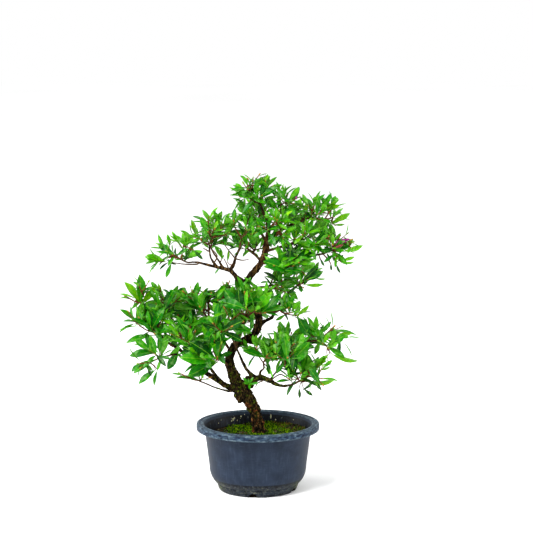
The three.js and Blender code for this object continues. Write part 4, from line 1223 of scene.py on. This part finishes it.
# The x, height and size of each pale fleck on the back of the pot's inside, and how drawn out they are.
WALL_FLECKS = [
    (-31, 73, 1.2), (-29.5, 74.6, 0.8), (-33, 71.6, 0.9), (-21.5, 75.8, 0.9),
    (-22, 73.8, 0.6), (-26, 71.5, 0.6), (-49, 72, 0.7), (-46, 75, 0.5),
    (16, 77, 0.7), (16, 74.6, 1.0), (22, 72, 0.8), (44, 75, 0.6),
    (-17, 78, 0.5),
]
FLECK_STRETCH = (0.9, 1.8)
FLECK_FACETS = (6, 4)


def moss_share(x, y):
    """How thickly moss grows at a place, from 0 to 1: bare towards the left edge, patchy at the right."""
    patch = noise.noise((Vector((x, y, 0)) + MOSS_NOISE_PLACE) / MOSS_PATCH)
    grown = smoothstep(x, *MOSS_START) * smoothstep(patch, *MOSS_PATCHES)
    return grown * (1 - MOSS_THINNER * smoothstep(x, *MOSS_THINS))


def scattered(count, random):
    """Places spread over the soil outside the trunk's foot."""
    places = []
    limit = wall_radius(SOIL_LEVEL) - WALL - WALL_CLEARANCE
    for i in range(count):
        radius = limit * math.sqrt((i + random()) / count)
        angle = math.radians(i * GOLDEN_TURN + TURN_STRAY * random())
        if radius > FOOT_CLEARANCE:
            places.append((radius * math.cos(angle), radius * math.sin(angle)))
    return places


def make_moss(finishes):
    """Tufts of short blades: moss, some painted lit, and a drier brownish patch at the right."""
    random = seeded(MOSS_SEED)
    pile = Pile()
    for x, y in scattered(MOSS_TUFTS, random):
        if random() > moss_share(x, y):
            continue
        foot = Vector((x, y, soil_surface(x, y) - BLADE_SUNK))
        dry = random() < DRY_SHARE * smoothstep(x + y / 2, *DRY_START)
        # Painted light: tufts in the bright moss finish stand for moss that catches the light.
        lit = BRIGHT_SHARE + BRIGHT_VARIES * noise.noise(foot / BRIGHT_PATCH)
        tone = 2 if dry else int(random() < lit)
        lush = smoothstep(noise.noise(foot / LUSH_PATCH), *LUSH_PATCHES)
        height = lerp(*BLADE_HEIGHT, random()) * lerp(*LUSHNESS, lush)
        for blade in range(MOSS_BLADES):
            way = turned(RIGHT, UP, blade * 360 / MOSS_BLADES + BLADE_STRAY * random())
            side = way.cross(UP) * BLADE_HALF_WIDTH
            tip = foot + way * lerp(*BLADE_LEAN, random()) + UP * height * lerp(*BLADE_SHARE, random())
            pile.add([foot - side, foot + side, tip], [[0, 1, 2]], tone)
    return pile.make("moss", finishes, smooth=False)


def make_grains(finishes):
    """Soil grains, dark lumps of painted shade in the notches, pale flecks on the wall behind the soil."""
    random = seeded(GRAIN_SEED)
    pile = Pile()
    for x, y in scattered(GRAINS, random):
        if random() < HIDDEN_GRAINS * moss_share(x, y):
            continue
        size = lerp(*GRAIN_RADIUS, random() ** 2)
        way = Vector((random() - 0.5, random() - 0.5, random() + 0.2)).normalized()
        middle = Vector((x, y, soil_surface(x, y) + GRAIN_OUT * size))
        radii = (size, size * lerp(*GRAIN_FLATNESS, random()))
        add_ball(pile, middle, radii, int(GRAIN_KINDS * random()), *GRAIN_FACETS, way)
    # Painted shade: dark lumps set inside each notch, in the dark grit's finish.
    for way in notch_ways():
        for aside, size in NOTCH_SHADE_LUMPS:
            middle = way * (FOOT_RADIUS - SHADE_LUMP_DEPTH * size) + way.cross(UP) * aside + UP * size
            add_ball(pile, middle, (size, size), 0, *SHADE_LUMP_FACETS)
    for x, height, size in WALL_FLECKS:
        radius = wall_radius(height) - WALL
        middle = Vector((x, math.sqrt(radius * radius - x * x), height))
        radii = (size, size * lerp(*FLECK_STRETCH, random()))
        add_ball(pile, middle, radii, GRAIN_KINDS, *FLECK_FACETS)
    return pile.make("soil_grains", finishes, smooth=False)


# The bark: its skin's grain, the swelling where a bough springs, the knots' facets and the smoothing.
BARK_VOXEL = 0.58
BARK_STEP = 3
LEAST_BARK_STEPS = 6
BARK_SIDES = 16
SWELLING = 0.45
SWELLING_REACH = 1.5
KNOT_FACETS = (14, 9)
SMOOTHING = 0.5
SMOOTHING_ROUNDS = 3
# Its relief, which is drawn out along the limb: the size of its lumps, finer lumps and flakes, each with the
# height as a share of the limb's radius, then the plates' size and height, and the cracks' depth and width.
BARK_STRETCH = 0.72
LUMPS = (8, 0.2)
FINE_LUMPS = (2.4, 0.12)
FLAKES = (0.9, 0.12)
PLATE_SIZE = (0.24, 0.8)
PLATE_HEIGHT = 0.05
CRACK_DEPTH = 0.2
CRACK_WIDTH = 0.34


def bark_height(point, way, radius):
    """How far the bark stands out at a point of a limb: lumps, flakes, and plates with cracks between."""
    stretched = point - way * (BARK_STRETCH * point.dot(way))
    layers = ((point, LUMPS), (stretched, FINE_LUMPS), (stretched, FLAKES))
    rough = sum(height * noise.noise(place / size) for place, (size, height) in layers)
    nearest, second = noise.voronoi(stretched / (PLATE_SIZE[0] * radius + PLATE_SIZE[1]))[0][:2]
    plates = PLATE_HEIGHT - CRACK_DEPTH * (1 - smoothstep(second - nearest, 0, CRACK_WIDTH))
    return (rough + plates) * radius


def bark_core(limbs):
    """Tubes and balls for the limbs and knots, and samples of the limbs: a point, the way and the radius."""
    pile = Pile()
    samples = []
    for name, limb in limbs.items():
        steps = max(LEAST_BARK_STEPS, round(limb.length / BARK_STEP))
        points = [limb.point(i / steps) for i in range(steps + 1)]
        radii = [limb.radius(i / steps) for i in range(steps + 1)]
        if name != "trunk":
            parent, share = BOUGHS[name][:2]
            thick = limbs[parent].radius(share)
            for i, point in enumerate(points):
                out = (point - points[0]).length - thick
                radii[i] *= 1 + SWELLING * math.exp(-max(out, 0) / (SWELLING_REACH * radii[0]))
        pile.add(*tube(points, radii, BARK_SIDES))
        for i, point in enumerate(points):
            way = points[min(i + 1, steps)] - points[max(i - 1, 0)]
            samples.append((point, way.normalized(), radii[i]))
    for place, radius in KNOTS:
        add_ball(pile, Vector(place), (radius, radius), 0, *KNOT_FACETS)
    return pile.make("bark_core", []), samples


def make_bark(limbs, finish):
    """One skin over the trunk and its boughs, swollen where a bough springs."""
    core, samples = bark_core(limbs)
    skin = core.modifiers.new("skin", "REMESH")
    skin.mode = "VOXEL"
    skin.voxel_size = BARK_VOXEL * MM
    soften = core.modifiers.new("soften", "SMOOTH")
    soften.factor = SMOOTHING
    soften.iterations = SMOOTHING_ROUNDS
    bark = evaluated(core, "bark_relief")
    tree = KDTree(len(samples))
    for i, (point, _, _) in enumerate(samples):
        tree.insert(point, i)
    tree.balance()
    normals = [vertex.normal.copy() for vertex in bark.data.vertices]
    for vertex, normal in zip(bark.data.vertices, normals):
        point = vertex.co / MM
        _, way, radius = samples[tree.find(point)[1]]
        vertex.co += normal * (bark_height(point, way, radius) * MM)
    bark.data.materials.clear()
    bark.data.materials.append(finish)
    bark.data.shade_smooth()
    return bark


# Twigs, leaves and buds.


# The corners across a leaf: four above, with its rib between the middle two, and three beneath.
LEAF_CORNERS = 7
ABOVE = (0, 1, 2)
BENEATH = (4, 5)


def add_leaf(pile, root, along, face, length, tone):
    """A leaf with its blade folded a little along a pale rib, and its underside just beneath."""
    side = along.cross(face).normalized()
    half = lerp(*LEAF_WIDTH, smoothstep(length, *LEAF_SIZES)) * length / 2
    corners = []
    for place, wide in LEAF_OUTLINE:
        rise = LEAF_RISE[0] * place + LEAF_RISE[1] * place * place
        middle = root + along * (place * length) + face * (rise * length)
        edge = side * (wide * half)
        rib = side * (min(LEAF_RIB, wide / 2) * half)
        fold = face * (LEAF_FOLD * wide * half)
        left, right = middle - edge + fold, middle + edge + fold
        corners += [left, middle - rib, middle + rib, right]
        corners += [left, middle - face * (LEAF_THICKNESS * wide), right]
    faces = []
    for low in range(0, LEAF_CORNERS * (len(LEAF_OUTLINE) - 1), LEAF_CORNERS):
        high = low + LEAF_CORNERS
        faces += [[low + i, low + i + 1, high + i + 1, high + i] for i in ABOVE]
        faces += [[low + i + 1, low + i, high + i, high + i + 1] for i in BENEATH]
    pile.add(corners, faces, [tone, RIB, tone, UNDERSIDE, UNDERSIDE] * (len(LEAF_OUTLINE) - 1))


class Foliage:
    """The twigs, leaves and buds of the masses, gathered kind by kind."""

    def __init__(self, wood):
        self.wood = [line for line in wood if line[2] > THICK_WOOD]
        self.leaves = Pile()
        self.twigs = Pile()
        self.buds = Pile()

    def add_stalk(self, points, radii, steps=STALK_STEPS, kind=1):
        self.twigs.add(*smooth_tube(points, radii, STALK_SIDES, steps), kind)

    def add_leaves(self, mass, shoot, axis, count, size, random):
        """A whorl whose outer leaves spread and whose inner ones stand up, all of about one tone."""
        axis = (axis + UP * mass.lift).normalized()
        across = square_to(axis)
        phase = 360 * random()
        large = LARGE_TONE * smoothstep(mass.leaf, *LARGE_LEAVES)
        # The whorl's tone takes painted shade from the shoot's place in its mass.
        spray = lerp(*WHORL_TONE, random()) + mass.shade(shoot) + large
        for i in range(count):
            inner = i / (count - 1)
            length = size * lerp(1, SMALLEST_LEAF, inner) * lerp(*LEAF_VARIES, random())
            turn = phase + i * GOLDEN_TURN + lerp(-LEAF_STRAY, LEAF_STRAY, random())
            opening = lerp(WIDE_OPENING, NARROW_OPENING, inner) + lerp(-LEAF_STRAY, LEAF_STRAY, random())
            tone = round(spray - INNER_TONE * inner + lerp(-TONE_STRAY, TONE_STRAY, random()))
            root = shoot - axis * (WHORL_DEPTH * (1 - inner) + WHORL_TOP)
            roll = lerp(-LEAF_ROLL, LEAF_ROLL, random())
            spread = turned(across, axis, turn)
            self.try_leaf(mass, root, axis, spread, opening, roll, length, min(max(tone, 0), OLD_TONES[-1]))

    def add_old_leaves(self, mass, shoot, axis, size, random):
        """Small dark leaves left from last year, which hang below the whorl."""
        across = square_to(axis)
        for tone in OLD_TONES:
            spread = turned(across, axis, 360 * random())
            opening = lerp(*OLD_OPENING, random())
            length = size * lerp(*OLD_GROWTH, random())
            root = shoot - axis * lerp(*OLD_ROOT, random())
            roll = lerp(-LEAF_ROLL, LEAF_ROLL, random())
            self.try_leaf(mass, root, axis, spread, opening, roll, length, tone)

    def try_leaf(self, mass, root, axis, spread, opening, roll, length, tone):
        """A leaf, unless it would leave the mass's space, cross an opening or pass through a limb."""
        along = between(axis, spread, math.radians(opening))
        face = facing(along, axis + UP * LEAF_FACES_UP, roll)
        for share in LEAF_TRIES:
            tip = root + along * (length * share)
            if open_sky(tip) or open_sky(root.lerp(tip, LEAF_BELLY)):
                return
            if not mass.inside(tip, LEAF_REACH) or not in_box(tip):
                continue
            if clear_of(root, tip, self.near, LEAF_CLEARANCE):
                add_leaf(self.leaves, root, along, face, length * share, tone)
                return

    def add_bud(self, shoot, axis, random):
        long = lerp(*BUD_LENGTH, random())
        radii = (BUD_WIDTH * long, long)
        add_ball(self.buds, shoot + axis * long, radii, int(2 * random()), *BUD_FACETS, axis)

    def add_twigs(self, mass):
        """The mass's twigs, thicker the more shoots they carry, whose stem reaches into its limb."""
        stem = mass.limb.radius(1) if mass.share == 1 else STEM_RADIUS
        radii = [min(stem, FINEST_RADIUS * (1 + LOAD_GROWTH * load)) for load in mass.loads()]
        for chain in mass.chains:
            points = [mass.joints[i] for i in chain]
            widths = [radii[i] for i in chain]
            widths[0] = min(widths[0], STEM_TAPER * widths[1])
            if chain[0] == 0:
                sunk = points[0] - mass.limb.way * STEM_SUNK
                points[0] = mass.limb.point(mass.share) if mass.share < 1 else sunk
                widths[0] = stem
            young = widths[-2] < YOUNG_RADIUS and chain[0] != 0
            self.twigs.add(*smooth_tube(points, widths, TWIG_SIDES, TWIG_STEPS), int(young))

    def add_mass(self, mass):
        random = seeded(mass.fine_seed)
        far = NEAR_REACH * max(mass.reach)
        self.near = [line for line in self.wood if (line[0] - mass.middle).length < far]
        self.add_twigs(mass)
        for tip in mass.tips:
            shoot = mass.joints[tip]
            last = shoot - mass.joints[mass.parents[tip]]
            axis = last.normalized()
            self.add_leaves(mass, shoot, axis, TIP_LEAVES, LEAF_GROWTH * mass.leaf, random)
            self.add_old_leaves(mass, shoot, axis, mass.leaf, random)
            self.add_bud(shoot, axis, random)
            self.add_side_shoots(mass, shoot, axis, last.length, random)

    def add_side_shoots(self, mass, shoot, axis, room, random):
        """Finer twigs that spring just below a shoot, turned round it by the golden angle."""
        across = square_to(axis)
        phase = 360 * random()
        for i in range(mass.side_shoots):
            root = shoot - axis * min(lerp(*SIDE_ROOT, random()), SIDE_ROOM * room)
            spread = turned(across, axis, phase + i * GOLDEN_TURN)
            opening = math.radians(lerp(*SIDE_OPENING, random()))
            way = (between(axis, spread, opening) + UP * SIDE_LIFT).normalized()
            length = mass.leaf * lerp(*SIDE_LENGTH, random())
            end = root + way * length
            if not mass.inside(end, SIDE_REACH) or open_sky(end):
                continue
            if not clear_of(root, end, self.near, SIDE_CLEARANCE):
                continue
            bend = root.lerp(end, 0.5) - UP * SIDE_SAG * length
            self.add_stalk([root, bend, end], SIDE_RADII)
            tip_way = (end - bend).normalized()
            self.add_leaves(mass, end, tip_way, SIDE_LEAVES, SIDE_GROWTH * mass.leaf, random)
            self.add_bud(end, tip_way, random)


def add_petals(pile, foot, way, length, radius, kind):
    """A furled bud: petals that wrap round each other and taper to a twisted point."""
    across = square_to(way)
    beside = way.cross(across)
    ribs = len(PETAL_RIBS)
    for petal in range(PETALS):
        corners = []
        for i in range(PETAL_STEPS):
            along = i / (PETAL_STEPS - 1)
            wide = radius * math.sin(math.pi * lerp(*PETAL_SPAN, along)) ** PETAL_FULLNESS
            for rib in PETAL_RIBS:
                turn = math.tau * (petal / PETALS + PETAL_RIB_TURN * rib + PETAL_TWIST * along)
                spoke = between(across, beside, turn) * (wide * (1 + PETAL_RIB_LIFT * rib))
                corners.append(foot + way * (length * along) + spoke)
        starts = [i * ribs + j for i in range(PETAL_STEPS - 1) for j in range(ribs - 1)]
        pile.add(corners, [[i, i + 1, i + ribs + 1, i + ribs] for i in starts], kind)


def make_flower_buds(masses, foliage, finishes):
    """Each flower bud on a short stalk that grows from the nearest shoot of its mass."""
    pile = Pile()
    for name, foot, way, length, radius, kind in FLOWER_BUDS:
        mass = next(mass for mass in masses if mass.name == name)
        foot, way = Vector(foot), Vector(way).normalized()
        shoot = min((mass.joints[tip] for tip in mass.tips), key=lambda point: (point - foot).length)
        bend = shoot.lerp(foot, STALK_BEND) - way * (FLOWER_STALK_SAG * length)
        foliage.add_stalk([shoot, bend, foot], FLOWER_STALK)
        add_petals(pile, foot - way, way, length, radius, kind)
    return pile.make("flower_buds", finishes)


def add_sprout(foliage, limbs):
    """A whorl of young leaves on a short stalk at the front of the fork."""
    name, share, tip, count, size = SPROUT
    heart, shoot = limbs[name].point(share), Vector(tip)
    way = (shoot - heart).normalized()
    foliage.add_stalk([heart, heart.lerp(shoot, STALK_BEND), shoot], SPROUT_STALK)
    way = (way + UP * SPROUT_LIFT).normalized()
    for i in range(count):
        spread = turned(square_to(way), way, i * GOLDEN_TURN)
        along = between(way, spread, math.radians(lerp(WIDE_OPENING, NARROW_OPENING, i / count)))
        face = facing(along, FRONT + UP * LEAF_FACES_UP)
        add_leaf(foliage.leaves, shoot, along, face, size * lerp(1, SMALLEST_LEAF, i / count), SPROUT_TONE)


def nearest_wood(wood, x, z, pull=OUTER_PULL):
    """The point of the wood nearest to a place as seen from the front, preferring the nearer side."""
    share, nearest = pull
    return min(wood, key=lambda point: math.hypot(point.x - x, point.z - z) + share * max(point.y, nearest))


def add_placed_leaves(foliage, wood, rows, pull):
    random = seeded(PLACED_SEED)
    for root_x, root_z, tip_x, tip_z, tone, roll in rows:
        near = nearest_wood(wood, root_x, root_z, pull)
        root = Vector((root_x, near.y, root_z))
        tip = Vector((tip_x, near.y, tip_z))
        tip.y += (tip - root).length * lerp(*LEAF_LEAN, random())
        along = (tip - root).normalized()
        face = facing(along, FRONT + UP * LEAF_FACES_UP, roll)
        bend = near.lerp(root, STALK_BEND) - along
        foliage.add_stalk([near, bend, root + along], PLACED_STALK)
        add_leaf(foliage.leaves, root, along, face, (tip - root).length, tone)


def add_twiglets(foliage, wood):
    for route in TWIGLETS:
        near = nearest_wood(wood, *route[0])
        points = [near, *[Vector((x, near.y - TWIGLET_AHEAD, z)) for x, z in route]]
        foliage.add_stalk(points, TWIGLET_RADII, TWIG_STEPS, kind=0)


# The scene, in metres.


# The camera at the photograph's angle.
SENSOR_WIDTH = 36
LENS = 135.1
FARTHEST_SEEN = 50
CAMERA_PLACE = (0.0105, -2.386, 0.6241)
CAMERA_PITCH = 81.65
# Each area light's name, place, size and power, and where they all point.
LIGHTS = [
    ("key", (-1.1, -1.6, 2.2), 1.1, 100),
    ("left", (-2.2, 0.2, 0.9), 1.2, 26),
    ("right", (2.2, -0.2, 0.9), 1.2, 22),
]
LIT_PLACE = Vector((0, 0, 0.2))
# The floor, a disc in millimetres.
STAGE_RADIUS = 9000
STAGE_DEPTH = 40
STAGE_SIDES = 96
STAGE_DROP = 0.5
STAGE_PATCH = 900


def set_camera():
    camera = bpy.data.cameras.new("camera")
    camera.sensor_width = SENSOR_WIDTH
    camera.lens = LENS
    camera.clip_end = FARTHEST_SEEN
    seen = linked("camera", camera)
    seen.location = CAMERA_PLACE
    seen.rotation_euler = (math.radians(CAMERA_PITCH), 0, 0)
    bpy.context.scene.camera = seen


def make_stage():
    """A pale floor, and white light from all round and soft lights from above and both sides."""
    disc = Pile()
    edge = [(0, -STAGE_DEPTH), (STAGE_RADIUS, -STAGE_DEPTH), (STAGE_RADIUS, 0), (0, 0)]
    disc.add(*lathe(edge, STAGE_SIDES))
    finish = Finish("floor", 1, specular=0)
    tone = finish.two_tone(finish.noise(STAGE_PATCH), (252, 252, 252), (255, 255, 255), stops=(0.3, 0.7))
    finish.feed(finish.shader["Base Color"], tone)
    floor = disc.make("floor", [finish.material], smooth=False)
    floor.location.z = -STAGE_DROP * MM
    world = bpy.data.worlds.new("studio")
    world.use_nodes = True
    background = world.node_tree.nodes["Background"].inputs
    background["Color"].default_value = (1, 1, 1, 1)
    background["Strength"].default_value = 1
    bpy.context.scene.world = world
    bpy.context.scene.view_settings.view_transform = "Standard"
    for name, place, size, power in LIGHTS:
        light = bpy.data.lights.new(name, "AREA")
        light.size = size
        light.energy = power
        made = linked(name, light)
        made.location = place
        made.rotation_euler = (LIT_PLACE - Vector(place)).to_track_quat("-Z", "Y").to_euler()


def main():
    limbs = make_limbs()
    lines = [line for limb in limbs.values() for line in limb.lines]
    foliage = Foliage(lines)
    taken = list(lines)
    masses = [Mass(name, limbs) for name in MASSES]
    for mass in masses:
        mass.grow(taken)
        taken += mass.lines
        mass.draw_in()
        foliage.add_mass(mass)

    wood = [limb.point(i / WOOD_STEPS) for limb in limbs.values() for i in range(WOOD_STEPS + 1)]
    wood += [joint for mass in masses for joint in mass.joints[HUB:]]
    add_placed_leaves(foliage, wood, OUTER_LEAVES, OUTER_PULL)
    add_placed_leaves(foliage, wood, FRONT_LEAVES, FRONT_PULL)
    add_twiglets(foliage, wood)
    add_sprout(foliage, limbs)
    flower_buds = make_flower_buds(masses, foliage, [
        flower_finish("petal_magenta", (70, 2, 62), (156, 34, 124)),
        flower_finish("petal_bract", (84, 24, 30), (134, 60, 58)),
    ])

    leaves = foliage.leaves.make("leaves", leaf_finishes(), smooth=False)
    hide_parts(*[f"foliage_{name}" for name in MASSES])
    old_twig = twig_finish("twig_bark", (32, 20, 8), (88, 62, 34))
    young_twig = twig_finish("twig_young", (62, 28, 12), (116, 66, 34))
    twigs = foliage.twigs.make("twigs", [old_twig, young_twig])
    tan_bud = flower_finish("bud_tan", (124, 82, 20), (176, 126, 44))
    green_bud = flower_finish("bud_green", (92, 122, 12), (136, 160, 40))
    buds = foliage.buds.make("buds", [tan_bud, green_bud])
    bark = make_bark(limbs, bark_finish())
    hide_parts("trunk", *[f"bough_{name}" for name in BOUGHS])
    pot = make_pot(pot_finish())
    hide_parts("pot")
    soil = make_soil(soil_finish())
    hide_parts("soil")
    moss = make_moss([
        moss_finish("moss_green", (16, 46, 0), (52, 98, 0)),
        moss_finish("moss_bright", (66, 118, 0), (136, 170, 12)),
        moss_finish("moss_dry", (62, 48, 14), (122, 102, 48)),
    ])
    grains = make_grains([
        # This finish serves dark grit on the soil and the painted shade in the notches.
        moss_finish("grit_dark_and_notch_shade", (8, 6, 4), (30, 23, 14)),
        moss_finish("grit_brown", (36, 24, 10), (76, 56, 30)),
        moss_finish("grit_grey", (40, 38, 28), (90, 84, 66)),
        moss_finish("grit_pale", (150, 146, 112), (206, 202, 168)),
    ])
    pieces = [leaves, twigs, buds, flower_buds, bark, pot, soil, moss, grains]
    for piece in pieces:
        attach(piece, "root")
    set_camera()
    make_stage()
    return pieces


for piece in main():
    print(piece.name, sum(len(face.vertices) - 2 for face in piece.data.polygons), "triangles")
